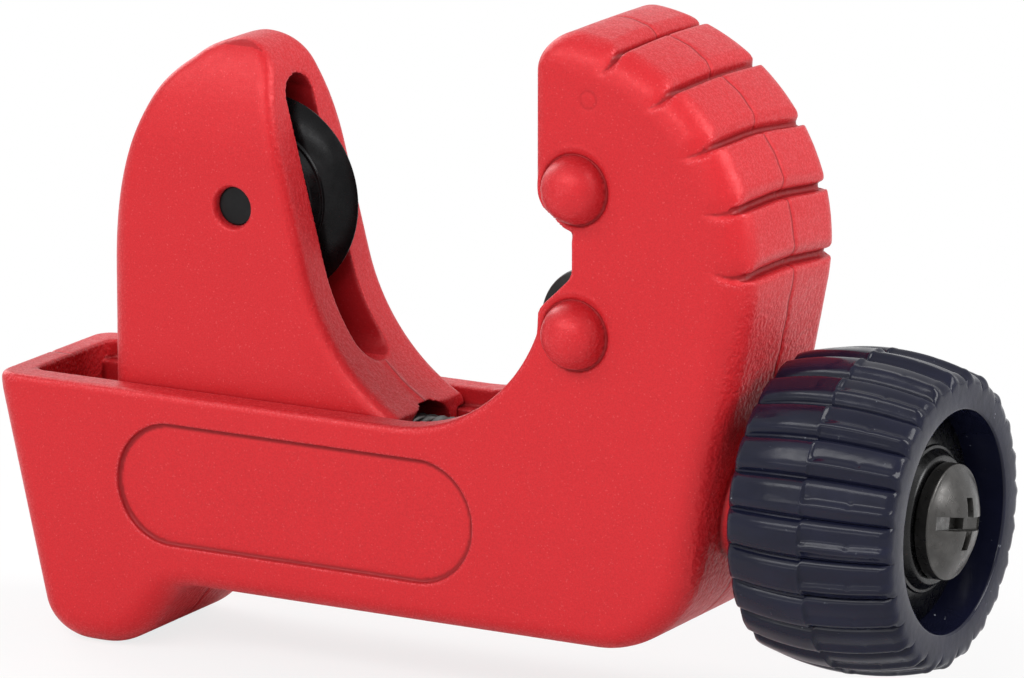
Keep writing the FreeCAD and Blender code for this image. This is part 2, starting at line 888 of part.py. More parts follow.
def carriage_blank(doc, s):
    """The carriage's outer shape: a rounded upper part and a foot between the ledges."""
    steps = carriage_outline(s)
    toe_x = steps["toe"][0][0]
    width = s.carriage_half_width * 2

    def draw(pen):
        pen.outline(steps["back bottom"][0], *steps.values())

    profile = prism(doc, "carriage_profile", draw, width + TOOL_OVERSHOOT)
    upper = doc.addObject("Part::Common", "carriage_upper")
    upper.Base = profile
    upper.Tool = carriage_arch(doc, s, toe_x * 3)

    def outer_edges(edge):
        a, b = ends(edge)
        middle = middle_of(edge)
        crosswise = abs(a.x - b.x) + abs(a.z - b.z) < 1e-6 and abs(a.y - b.y) > 1.0
        lengthwise = abs(a.y - b.y) + abs(a.z - b.z) < 1e-6
        if crosswise or lengthwise or (middle.z < -s.carriage_toe_drop.value and middle.x > 0):
            return None
        back = middle.x < 0 and middle.z < s.carriage_arch_start.value + 1e-3
        return ((s.carriage_back_edge_radius if back else s.carriage_front_edge_radius).value,) * 2

    rounded = fillet(doc, "carriage_edges", upper, outer_edges)
    foot = block(doc, "carriage_foot", (-s.carriage_back, toe_x),
                 centred(width - s.ledge_width * 2),
                 (s.channel_floor + s.slide_gap - s.wheel_height, -s.carriage_bottom))  # fmt: skip
    return fuse(doc, "carriage_blank", [rounded, foot]), toe_x


def wheel_slot(doc, s, toe_x):
    """The slot that the cutting wheel stands in, open to the front, with round ends."""
    housing = s.wheel_radius + s.wheel_slot_clearance
    low = s.wheel_slot_foot - s.carriage_toe_drop
    front = block(doc, "wheel_slot_front", (ZERO, toe_x + TOOL_OVERSHOOT),
                  centred(s.wheel_slot_width), (low, s.wheel_slot_rise))  # fmt: skip

    def long_edges(edge):
        a, b = ends(edge)
        return (s.wheel_slot_corner.value,) * 2 if abs(a.x - b.x) > 1.0 else None

    rounded = fillet(doc, "wheel_slot_ends", front, long_edges)
    half = s.wheel_slot_width / 2
    disc = rod(doc, "wheel_slot_housing", ALONG_Y, housing, s.wheel_slot_width, (ZERO, -half, ZERO))
    return [rounded, disc]


def make_carriage(doc, s):
    blank, toe_x = carriage_blank(doc, s)
    half = s.carriage_half_width
    head_seat = half - s.axle_head_height - s.seat_gap
    axle_hole = s.axle_radius + s.running_gap
    nut_back = -s.carriage_back - TOOL_OVERSHOOT
    tools = [
        *wheel_slot(doc, s, toe_x),
        rod(doc, "axle_hole", ALONG_Y, axle_hole, half * 2 + TOOL_OVERSHOOT * 2,
            (ZERO, -half - TOOL_OVERSHOOT, ZERO)),
        rod(doc, "axle_head_pocket", ALONG_Y, s.axle_head_radius + s.seat_gap,
            s.axle_head_height + s.seat_gap + TOOL_OVERSHOOT, (ZERO, head_seat, ZERO)),
        rod(doc, "axle_end_pocket", ALONG_Y, axle_hole + s.seat_gap * 2,
            s.axle_end_recess + TOOL_OVERSHOOT, (ZERO, -half - TOOL_OVERSHOOT, ZERO)),
        rod(doc, "nut_bore", ALONG_X, s.spindle_radius + s.running_gap,
            toe_x - nut_back + TOOL_OVERSHOOT, (nut_back, ZERO, -s.spindle_drop)),
        rod(doc, "nut_relief", ALONG_X, s.nut_relief_radius, s.nut_relief_depth + TOOL_OVERSHOOT,
            (toe_x - s.nut_relief_depth, ZERO, -s.spindle_drop)),
    ]  # fmt: skip
    carriage = cut(doc, "carriage", blank, tools)
    place(carriage, s.start + s.wheel_rest, ZERO, s.wheel_height)
    return carriage


# Cutting wheels and the axle screw


def make_wheel(doc, s, label, about):
    """A cutting wheel: a stepped hub with a blade that tapers to its rim."""
    hub, web, rim = (size / 2 for size in (s.wheel_hub_width, s.wheel_web, s.wheel_edge))
    bore = s.axle_radius + s.running_gap

    def draw(pen, spot):
        side = [(hub, bore), (hub, s.wheel_hub_face_radius), (web, s.wheel_hub_radius),
                (rim, s.wheel_radius)]  # fmt: skip
        far = [spot(along, radius) for along, radius in side]
        near = [spot(-along, radius) for along, radius in reversed(side)]
        pen.polygon(*far, *near)

    return turned(doc, label, draw, about)


def make_axle(doc, s):
    """The wheel's axle: a screw with its head sunk in the far side of the carriage."""
    half = s.carriage_half_width
    head_seat = half - s.axle_head_height - s.seat_gap

    def draw(pen, spot):
        pen.polygon(
            spot(-half + s.axle_end_recess, ZERO),
            spot(-half + s.axle_end_recess, s.axle_radius),
            spot(head_seat, s.axle_radius),
            spot(head_seat, s.axle_head_radius),
            spot(half - s.seat_gap, s.axle_head_radius),
            spot(half - s.seat_gap, ZERO),
        )

    axle = turned(doc, "wheel_axle", draw, about="Y")
    place(axle, s.start + s.wheel_rest, ZERO, s.wheel_height)
    return axle


# Spindle, clip and washer, with lengths from the frame's closed end


def clip_span(s):
    """The clip's two faces along the tool, just inside the bearing wall."""
    face = s.bearing_face - s.seat_gap
    return face - s.clip_thickness, face


def make_spindle(doc, s):
    """The spindle: plain where it is threaded, grooved for the clip, flat where it drives."""
    clip_low, clip_high = (face - s.spindle_start for face in clip_span(s))
    margin = s.seat_gap / 2
    end = s.knob_start + s.knob_recess_floor - s.spindle_end_setback - s.spindle_start
    flats = s.knob_seat - s.spindle_start
    tapped = s.screw_radius + s.running_gap
    tapped_from = s.screw_seat - s.screw_length - s.seat_gap - s.spindle_start

    def draw(pen, spot):
        pen.polygon(
            spot(ZERO, ZERO),
            spot(ZERO, s.spindle_radius - s.spindle_tip_chamfer),
            spot(s.spindle_tip_chamfer, s.spindle_radius),
            spot(clip_low - margin, s.spindle_radius),
            spot(clip_low - margin, s.clip_groove_radius),
            spot(clip_high + margin, s.clip_groove_radius),
            spot(clip_high + margin, s.spindle_radius),
            spot(end, s.spindle_radius),
            spot(end, tapped),
            spot(tapped_from, tapped),
            spot(tapped_from, ZERO),
        )

    blank = turned(doc, "spindle_blank", draw)
    half, outside = s.spindle_flats / 2, s.spindle_radius + TOOL_OVERSHOOT
    x_span, y_span = (flats, end + TOOL_OVERSHOOT), centred(outside * 2)
    spindle = cut(doc, "spindle", blank, [
        block(doc, "upper_flat", x_span, y_span, (half, outside)),
        block(doc, "lower_flat", x_span, y_span, (-outside, -half)),
    ])  # fmt: skip
    place(spindle, s.start + s.spindle_start, ZERO, s.spindle_height)
    return spindle


def ring(doc, label, inner, outer, thickness):
    """A flat ring about its own X axis."""

    def draw(pen, spot):
        pen.polygon(
            spot(ZERO, inner), spot(ZERO, outer), spot(thickness, outer), spot(thickness, inner)
        )

    return turned(doc, label, draw)


def make_clip(doc, s):
    """The open spring clip that keeps the spindle from moving towards the knob."""
    low, high = clip_span(s)
    blank = ring(doc, "clip_ring", s.clip_groove_radius + s.running_gap, s.clip_radius, high - low)
    mouth = block(doc, "clip_mouth", (-s.clip_thickness, s.clip_thickness * 2),
                  centred(s.clip_opening), (-s.clip_radius * 2, ZERO))  # fmt: skip
    clip = cut(doc, "spindle_clip", blank, [mouth])
    place(clip, s.start + low, ZERO, s.spindle_height)
    return clip


def make_washer(doc, s):
    """The thrust washer between the frame's end face and the knob."""
    inner = s.spindle_radius + s.running_gap
    washer = ring(doc, "thrust_washer", inner, s.washer_radius, s.washer_thickness)
    place(washer, s.start + s.body_length, ZERO, s.spindle_height)
    return washer


# Knob, its screw and the spare wheel, with lengths from the knob's rear rim


def knob_rim(s, along):
    """The barrel's radius at a length along the knob."""
    offset = along - s.knob_widest
    rise = (s.knob_barrel_radius.squared() - offset.squared()).root()
    return s.knob_radius - s.knob_barrel_radius + rise


def make_knob(doc, s):
    """The barrel-shaped knob, ribbed lengthwise, with the spare wheel's recess in its end."""

    def draw(pen, spot):
        rear, rib_end = spot(ZERO, knob_rim(s, ZERO)), spot(s.knob_rib_end, knob_rim(s, s.knob_rib_end))
        pocket_depth, pocket = s.knob_rear_pocket_depth, s.knob_rear_pocket_radius
        pen.outline(
            spot(pocket_depth, ZERO),
            (spot(pocket_depth, pocket),),
            (spot(ZERO, pocket),),
            (rear,),
            (rib_end, s.knob_barrel_radius, RIGHT_TURN),
            (spot(s.knob_length, s.knob_ring_radius), s.knob_brow_radius, RIGHT_TURN),
            (spot(s.knob_length, s.knob_recess_radius + s.knob_rim_chamfer),),
            (spot(s.knob_length - s.knob_rim_chamfer, s.knob_recess_radius),),
            (spot(s.knob_recess_floor, s.knob_recess_radius),),
            (spot(s.knob_recess_floor, ZERO),),
            (spot(pocket_depth, ZERO),),
        )

    knob = turned(doc, "knob", draw)
    doc.recompute()
    add_drive_hole(knob, s)
    add_ribs(knob, s)
    place(knob, s.start + s.knob_start, ZERO, s.spindle_height)
    return knob


def add_drive_hole(knob, s):
    """The hole for the spindle's flats."""
    sketch = sketch_on(knob, "YZ_Plane", "drive_hole_outline")
    radius, flat = s.spindle_radius + s.running_gap, s.spindle_flats / 2 + s.running_gap
    side = (radius.squared() - flat.squared()).root()
    Pen(sketch).outline(
        (-side, -flat),
        ((side, -flat),),
        ((side, flat), radius, LEFT_TURN),
        ((-side, flat),),
        ((-side, -flat), radius, LEFT_TURN),
    )
    hole = knob.newObject("PartDesign::Pocket", "drive_hole")
    hole.Profile = sketch
    hole.Type = "ThroughAll"
    hole.Midplane = True
    cuts_into(knob, hole)


def add_ribs(knob, s):
    """Grooves that follow the barrel and leave rounded ribs between them."""
    sketch = sketch_on(knob, "YZ_Plane", "rib_groove_outline")
    bind(sketch, "AttachmentOffset.Base.z", s.knob_widest)
    half, top = s.knob_groove_width / 2, s.knob_radius + s.knob_groove_depth / 4
    pen = Pen(sketch)
    pen.outline(
        (-half, top + TOOL_OVERSHOOT),
        ((-half, top),),
        ((ZERO, s.knob_radius - s.knob_groove_depth), s.knob_rib_shoulder_radius, RIGHT_TURN),
        ((half, top), s.knob_rib_shoulder_radius, RIGHT_TURN),
        ((half, top + TOOL_OVERSHOOT),),
        ((-half, top + TOOL_OVERSHOOT),),
    )
    axis_height = s.knob_radius - s.knob_barrel_radius
    ends_at = [(side * s.knob_ring_radius.value, axis_height.value) for side in (-1, 1)]
    line = Part.LineSegment(*[Vector(*point, 0) for point in ends_at])
    axis = sketch.addGeometry(line, True)
    pen.pin(axis, 1, (-s.knob_ring_radius, axis_height))
    pen.pin(axis, 2, (s.knob_ring_radius, axis_height))
    groove = knob.newObject("PartDesign::Groove", "rib_groove")
    groove.Profile = sketch
    groove.ReferenceAxis = (sketch, ["Axis0"])
    groove.Angle = RIB_GROOVE_SWEEP
    groove.Midplane = True
    cuts_into(knob, groove)
    pattern = knob.newObject("PartDesign::PolarPattern", "ribs")
    pattern.Originals = [groove]
    pattern.Axis = (origin_item(knob, "X_Axis"), [""])
    pattern.Angle = 360.0
    bind(pattern, "Occurrences", s.knob_rib_count)
    cuts_into(knob, pattern)


def make_knob_screw(doc, s):
    """The domed screw that holds the knob and the spare wheel, slotted and crossed."""
    rise = s.screw_head_dome
    top = s.screw_head_skirt + rise
    dome_radius = (s.screw_head_radius.squared() + rise.squared()) / (rise * 2)

    def draw(pen, spot):
        pen.outline(
            spot(-s.screw_length, ZERO),
            (spot(-s.screw_length, s.screw_radius),),
            (spot(s.seat_gap, s.screw_radius),),
            (spot(s.seat_gap, s.screw_head_radius),),
            (spot(s.screw_head_skirt, s.screw_head_radius),),
            (spot(top, ZERO), dome_radius, RIGHT_TURN),
            (spot(-s.screw_length, ZERO),),
        )

    blank = turned(doc, "screw_blank", draw)
    x_span = (top - s.screw_slot_depth, top + TOOL_OVERSHOOT)
    screw = cut(doc, "knob_screw", blank, [
        block(doc, "screw_slot", x_span, centred(s.screw_slot_length), centred(s.screw_slot_width)),
        block(doc, "screw_cross", x_span, centred(s.screw_cross_width), centred(s.screw_cross_length)),
    ])  # fmt: skip
    place(screw, s.start + s.screw_seat, ZERO, s.spindle_height)
    return screw


def make_wheels(doc, s):
    """The wheel at work in the carriage, and the spare one in the knob."""
    worker = make_wheel(doc, s, "cutter_wheel", about="Y")
    place(worker, s.start + s.wheel_rest, ZERO, s.wheel_height)
    spare = make_wheel(doc, s, "spare_wheel", about="X")
    place(spare, s.start + s.screw_seat - s.wheel_hub_width / 2, ZERO, s.spindle_height)
    return [worker, spare]


def check(doc, sub_parts):
    """Stops on a failed feature or a shape that is not one valid solid."""
    failed = [item.Name for item in doc.Objects if {"Invalid", "Error"} & set(item.State)]
    if failed:
        raise RuntimeError(f"features failed: {failed}")
    for item in sub_parts:
        shape = item.Shape
        if shape.isNull() or not shape.isValid() or len(shape.Solids) != 1:
            raise RuntimeError(f"{item.Label} is not one valid solid")


def main():
    doc = FreeCAD.newDocument("PipeCutter")
    sizes = Sizes(make_sheet(doc))
    sub_parts = [
        make_body(doc, sizes),
        *make_rollers(doc, sizes),
        make_carriage(doc, sizes),
        make_axle(doc, sizes),
        *make_wheels(doc, sizes),
        make_spindle(doc, sizes),
        make_clip(doc, sizes),
        make_washer(doc, sizes),
        make_knob(doc, sizes),
        make_knob_screw(doc, sizes),
    ]
    doc.recompute()
    check(doc, sub_parts)
    os.makedirs(PARTS_FOLDER, exist_ok=True)
    for item in sub_parts:
        item.Shape.exportStep(os.path.join(PARTS_FOLDER, f"{item.Label}.step"))


main()
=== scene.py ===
"""The looks of a small pipe cutter: powder-coated castings, a glossy ribbed knob and dark steel.

Every class is one sub-assembly. Its fields are sizes in millimetres, in the frame of the CAD
model: +X runs along the spindle to the knob, -Y faces the oval panel and +Z is up.
"""

import sys

import logging
import math
from collections.abc import Callable, Sequence
from dataclasses import dataclass
from enum import Enum

import bmesh
import bpy
import numpy as np
from mathutils import Matrix, Vector


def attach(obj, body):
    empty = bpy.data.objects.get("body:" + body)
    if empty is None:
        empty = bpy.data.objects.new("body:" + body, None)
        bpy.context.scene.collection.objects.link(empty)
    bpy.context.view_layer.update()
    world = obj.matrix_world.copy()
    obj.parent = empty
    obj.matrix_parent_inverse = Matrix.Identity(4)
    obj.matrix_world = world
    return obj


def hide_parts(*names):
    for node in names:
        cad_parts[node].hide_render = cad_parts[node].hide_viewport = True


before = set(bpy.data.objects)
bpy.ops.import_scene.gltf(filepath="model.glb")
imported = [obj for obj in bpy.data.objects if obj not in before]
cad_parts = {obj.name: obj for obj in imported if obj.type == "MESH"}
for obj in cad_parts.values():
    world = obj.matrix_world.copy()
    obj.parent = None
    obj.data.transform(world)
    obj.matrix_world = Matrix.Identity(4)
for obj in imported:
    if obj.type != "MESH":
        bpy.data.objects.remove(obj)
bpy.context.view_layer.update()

MM = 0.001
LOG = logging.getLogger("pipe_cutter")

Colour = tuple[float, float, float]
Place = tuple[float, float, float]
Range = tuple[float, float]
Corner = tuple[float, float, float]  # length along the axis, radius, rounding

WHEEL_MIDDLE: Place = (-22.5, 0.0, 40.0)
SPINDLE_HEIGHT = 19.4
LIT_PLACE: Place = (0.0, 0.0, 0.03)
WHITE = (1.0, 1.0, 1.0, 1.0)
OVERRUN = 1.0  # how far a cutter reaches past what it cuts
EDGE = 0.08  # the softened edge of a small cut
TINY = 1e-6
NEARLY_ONE = 0.9999
MOST_OF_NOISE: Range = (0.3, 0.7)
ROUNDING_ROOM = 0.42  # the share of its shorter side that a rounding may take
HOLDING_SHARES: Range = (0.5, 0.06)  # how far beyond a rounding the point on the flat lies
MERGE_DISTANCE = 1e-7
CRUSHED_DISTANCE = 1e-8
BEVEL_ANGLE, SHARP_ANGLE = 38.0, 28.0
ON_OFF: Range = (0.0, 1.0)


class Axis(Enum):
    """The directions that turned pieces lie in."""

    ALONG = "X"
    ACROSS = "Y"


class Body(str, Enum):
    """The bodies of the model that pieces ride on."""

    FRAME = "frame"
    CARRIAGE = "carriage"
    WHEEL = "cutter_wheel"
    UPPER_ROLLER = "upper_roller"
    LOWER_ROLLER = "lower_roller"
    DRIVE = "drive"


# Numbers and outlines


def smoothstep(low: float, high: float, value: np.ndarray) -> np.ndarray:
    """Rises smoothly from 0 at low to 1 at high.

    Args:
        low: Where the rise starts.
        high: Where it ends.
        value: Where to take it.

    Returns:
        The risen values, of the same shape as value.
    """
    t = np.clip((value - low) / (high - low), 0.0, 1.0)
    return t * t * (3.0 - 2.0 * t)


def bell(value: np.ndarray, width: float) -> np.ndarray:
    """A smooth bump of height 1 about 0, which falls to a third at a width."""
    return np.exp(-((value / width) ** 2))


def rounded_outline(corners: Sequence[Corner], closed: bool, steps: int = 5) -> list[Range]:
    """Rounds the corners of an outline.

    Args:
        corners: The corners in order, each with its rounding radius.
        closed: Whether the last corner joins the first.
        steps: How many points a rounded corner has, less one.

    Returns:
        The points of the outline, with a point on the flats beside each rounding.
    """
    count = len(corners)
    points: list[Range] = []
    for index, (x, r, rounding) in enumerate(corners):
        at_end = not closed and index in (0, count - 1)
        if rounding <= 0.0 or at_end:
            points.append((x, r))
            continue
        here = np.array((x, r))
        before = np.array(corners[index - 1][:2]) - here
        after = np.array(corners[(index + 1) % count][:2]) - here
        room = min(np.linalg.norm(before), np.linalg.norm(after))
        before, after = before / np.linalg.norm(before), after / np.linalg.norm(after)
        half = math.acos(float(np.clip(before @ after, -NEARLY_ONE, NEARLY_ONE))) / 2
        back = min(rounding / math.tan(half), ROUNDING_ROOM * room)
        radius = back * math.tan(half)
        middle = here + (before + after) / np.linalg.norm(before + after) * radius / math.sin(half)
        start, end = here + before * back - middle, here + after * back - middle
        sweep = math.acos(float(np.clip(start @ end / radius**2, -1.0, 1.0)))
        flat = min(HOLDING_SHARES[0] * back, HOLDING_SHARES[1] * room)
        points.append(tuple(here + before * (back + flat)))
        for step in range(steps + 1):
            t = step / steps
            weights = math.sin((1 - t) * sweep), math.sin(t * sweep)
            points.append(tuple(middle + (start * weights[0] + end * weights[1]) / math.sin(sweep)))
        points.append(tuple(here + after * (back + flat)))
    return points


# Meshes


def new_piece(name: str, mesh: bpy.types.Mesh) -> bpy.types.Object:
    """Puts a mesh into the scene as a piece at the origin.

    Args:
        name: The piece's name.
        mesh: Its mesh, in place.

    Returns:
        The new object.
    """
    mesh.name = name
    piece = bpy.data.objects.new(name, mesh)
    bpy.context.scene.collection.objects.link(piece)
    return piece


def mesh_from(points: np.ndarray, faces: Sequence[Sequence[int]]) -> bpy.types.Mesh:
    """Makes a smooth mesh, with its doubles merged and its faces turned outwards.

    Args:
        points: The vertices, in metres.
        faces: The vertex numbers of each face.

    Returns:
        The mesh.
    """
    mesh = bpy.data.meshes.new("shape")
    mesh.from_pydata(points.tolist(), [], faces)
    work = bmesh.new()
    work.from_mesh(mesh)
    bmesh.ops.remove_doubles(work, verts=work.verts, dist=MERGE_DISTANCE)
    bmesh.ops.dissolve_degenerate(work, edges=work.edges, dist=CRUSHED_DISTANCE)
    bmesh.ops.recalc_face_normals(work, faces=work.faces)
    for face in work.faces:
        face.smooth = True
    work.to_mesh(mesh)
    work.free()
    return mesh


def vertex_rows(mesh: bpy.types.Mesh, what: str) -> np.ndarray:
    """Reads what the vertices of a mesh carry.

    Args:
        mesh: The mesh to read.
        what: "co" for their places or "normal" for their normals.

    Returns:
        One row for each vertex.
    """
    values = np.empty(len(mesh.vertices) * 3, dtype=np.float32)
    mesh.vertices.foreach_get(what, values)
    return values.reshape(-1, 3).astype(float)


def positions(mesh: bpy.types.Mesh) -> np.ndarray:
    """The vertices of a mesh as rows, in millimetres."""
    return vertex_rows(mesh, "co") / MM


def normals(mesh: bpy.types.Mesh) -> np.ndarray:
    """The vertex normals of a mesh as rows."""
    return vertex_rows(mesh, "normal")


def move_to(mesh: bpy.types.Mesh, points: np.ndarray) -> None:
    """Moves the vertices of a mesh.

    Args:
        mesh: The mesh to change.
        points: The new places, in millimetres.
    """
    mesh.vertices.foreach_set("co", (points * MM).astype(np.float32).ravel())
    mesh.update()


def mark(mesh: bpy.types.Mesh, name: str, values: np.ndarray) -> None:
    """Stores a value for each vertex, for a finish to read.

    Args:
        mesh: The mesh to mark.
        name: The attribute's name.
        values: One number for each vertex.
    """
    attribute = mesh.attributes.new(name, "FLOAT", "POINT")
    attribute.data.foreach_set("value", values.astype(np.float32))


def evaluated(piece: bpy.types.Object) -> bpy.types.Object:
    """Replaces a piece's mesh by what its modifiers make of it, and removes them.

    Args:
        piece: The object with modifiers.

    Returns:
        The same object, with a plain mesh.
    """
    graph = bpy.context.evaluated_depsgraph_get()
    result = bpy.data.meshes.new_from_object(
        piece.evaluated_get(graph), preserve_all_data_layers=True, depsgraph=graph
    )
    piece.modifiers.clear()
    old, name = piece.data, piece.data.name
    piece.data = result
    bpy.data.meshes.remove(old)
    result.name = name
    return piece


def turned_piece(
    name: str,
    corners: Sequence[Corner],
    centre: Place,
    axis: Axis,
    closed: bool = False,
    segments: int = 96,
) -> bpy.types.Object:
    """Turns an outline about an axis, as on a lathe.

    Args:
        name: The piece's name.
        corners: The outline, as lengths along the axis, radii and roundings.
        centre: Where the outline's zero lies, in millimetres.
        axis: The direction of the axis.
        closed: Whether the outline is a closed ring that stays off the axis.
        segments: How many steps the turn has.

    Returns:
        The new piece.
    """
    outline = np.array(rounded_outline(corners, closed))
    angles = np.linspace(0.0, 2 * math.pi, segments, endpoint=False)
    along = np.repeat(outline[:, 0], segments)
    side = np.outer(outline[:, 1], np.cos(angles)).ravel()
    up = np.outer(outline[:, 1], np.sin(angles)).ravel()
    columns = (along, side, up) if axis is Axis.ALONG else (side, along, up)
    points = (np.stack(columns, axis=1) + np.array(centre)) * MM
    rows = len(outline)
    faces = []
    for row in range(rows if closed else rows - 1):
        following = (row + 1) % rows
        for step in range(segments):
            after = (step + 1) % segments
            here, there = row * segments, following * segments
            faces.append([here + step, here + after, there + after, there + step])
    return new_piece(name, mesh_from(points, faces))


def box_cutter(low: Place, high: Place) -> bpy.types.Object:
    """Makes a block for cutting.

    Args:
        low: Its lowest corner, in millimetres.
        high: Its highest corner.

    Returns:
        The new block.
    """
    spans = [(a * MM, b * MM) for a, b in zip(low, high)]
    points = np.array([[x, y, z] for x in spans[0] for y in spans[1] for z in spans[2]])
    faces = [[0, 1, 3, 2], [4, 6, 7, 5], [0, 4, 5, 1], [2, 3, 7, 6], [0, 2, 6, 4], [1, 5, 7, 3]]
    return new_piece("cutter", mesh_from(points, faces))


def cut_away(piece: bpy.types.Object, cutters: Sequence[bpy.types.Object], edge: float) -> None:
    """Cuts blocks from a piece and softens the new edges.

    Args:
        piece: The piece to cut.
        cutters: The blocks, which are used up.
        edge: The width of the softened edges in millimetres.
    """
    for cutter in cutters:
        modifier = piece.modifiers.new("cut", "BOOLEAN")
        modifier.operation = "DIFFERENCE"
        modifier.solver = "EXACT"
        modifier.object = cutter
        evaluated(piece)
        old = cutter.data
        bpy.data.objects.remove(cutter)
        bpy.data.meshes.remove(old)
    bevel = piece.modifiers.new("edges", "BEVEL")
    bevel.width = edge * MM
    bevel.segments = 2
    bevel.limit_method = "ANGLE"
    bevel.angle_limit = math.radians(BEVEL_ANGLE)
    bevel.use_clamp_overlap = True
    evaluated(piece)
    piece.data.shade_smooth()
    piece.data.set_sharp_from_angle(angle=math.radians(SHARP_ANGLE))


# Node trees


class Nodes:
    """A node tree under construction."""

    def __init__(self, tree: bpy.types.NodeTree) -> None:
        """Takes the tree to add to."""
        self.tree = tree

    def add(self, kind: str, inputs: dict | None = None, **settings: object) -> bpy.types.Node:
        """Adds a node and fills its inputs.

        Args:
            kind: The node's type.
            inputs: A value or a socket for each input, by name or number.
            settings: The node's other settings.

        Returns:
            The node.
        """
        node = self.tree.nodes.new(kind)
        for name, value in settings.items():
            setattr(node, name, value)
        for name, value in (inputs or {}).items():
            if isinstance(value, bpy.types.NodeSocket):
                self.tree.links.new(value, node.inputs[name])
            else:
                node.inputs[name].default_value = value
        return node

    def made(
        self, kind: str, inputs: dict | None = None, **settings: object
    ) -> bpy.types.NodeSocket:
        """The first output of a new node."""
        return self.add(kind, inputs, **settings).outputs[0]

    def math(self, operation: str, *values: object) -> bpy.types.NodeSocket:
        """The result of a Math node on values or sockets."""
        return self.made("ShaderNodeMath", dict(enumerate(values)), operation=operation)


class NodeProgram(Nodes):
    """A Geometry Nodes tree with named inputs, which is run once on a piece."""

    def __init__(self, name: str) -> None:
        """Starts a tree that takes and gives a geometry.

        Args:
            name: The tree's name.
        """
        super().__init__(bpy.data.node_groups.new(name, "GeometryNodeTree"))
        for way in ("INPUT", "OUTPUT"):
            self.tree.interface.new_socket(
                "Geometry", in_out=way, socket_type="NodeSocketGeometry"
            )
        self.source = self.tree.nodes.new("NodeGroupInput")
        self.result = self.tree.nodes.new("NodeGroupOutput")
        self._identifiers: dict[str, str] = {}

    def input(self, label: str, kind: str = "NodeSocketFloat") -> bpy.types.NodeSocket:
        """Adds a named input.

        Args:
            label: The input's name.
            kind: The type of its socket.

        Returns:
            The socket that carries it inside the tree.
        """
        item = self.tree.interface.new_socket(label, in_out="INPUT", socket_type=kind)
        self._identifiers[label] = item.identifier
        return self.source.outputs[label]

    def finish(
        self, geometry: bpy.types.NodeSocket, material: bpy.types.NodeSocket
    ) -> bpy.types.NodeSocket:
        """Ends the tree in real geometry with a material.

        Args:
            geometry: What the tree has made.
            material: The input that carries the material.

        Returns:
            The socket of the finished geometry.
        """
        real = self.made("GeometryNodeRealizeInstances", {0: geometry})
        return self.made("GeometryNodeSetMaterial", {"Geometry": real, "Material": material})

    def run(
        self, piece: bpy.types.Object, geometry: bpy.types.NodeSocket, **values: object
    ) -> None:
        """Closes the tree and replaces a piece's mesh by what the tree makes of it.

        Args:
            piece: The piece that the tree works on.
            geometry: The socket that carries the finished geometry.
            values: What each named input is set to.
        """
        self.tree.links.new(geometry, self.result.inputs[0])
        modifier = piece.modifiers.new(self.tree.name, "NODES")
        modifier.node_group = self.tree
        for label, value in values.items():
            modifier[self._identifiers[label]] = value
        evaluated(piece)
        bpy.data.node_groups.remove(self.tree)


# Finishes


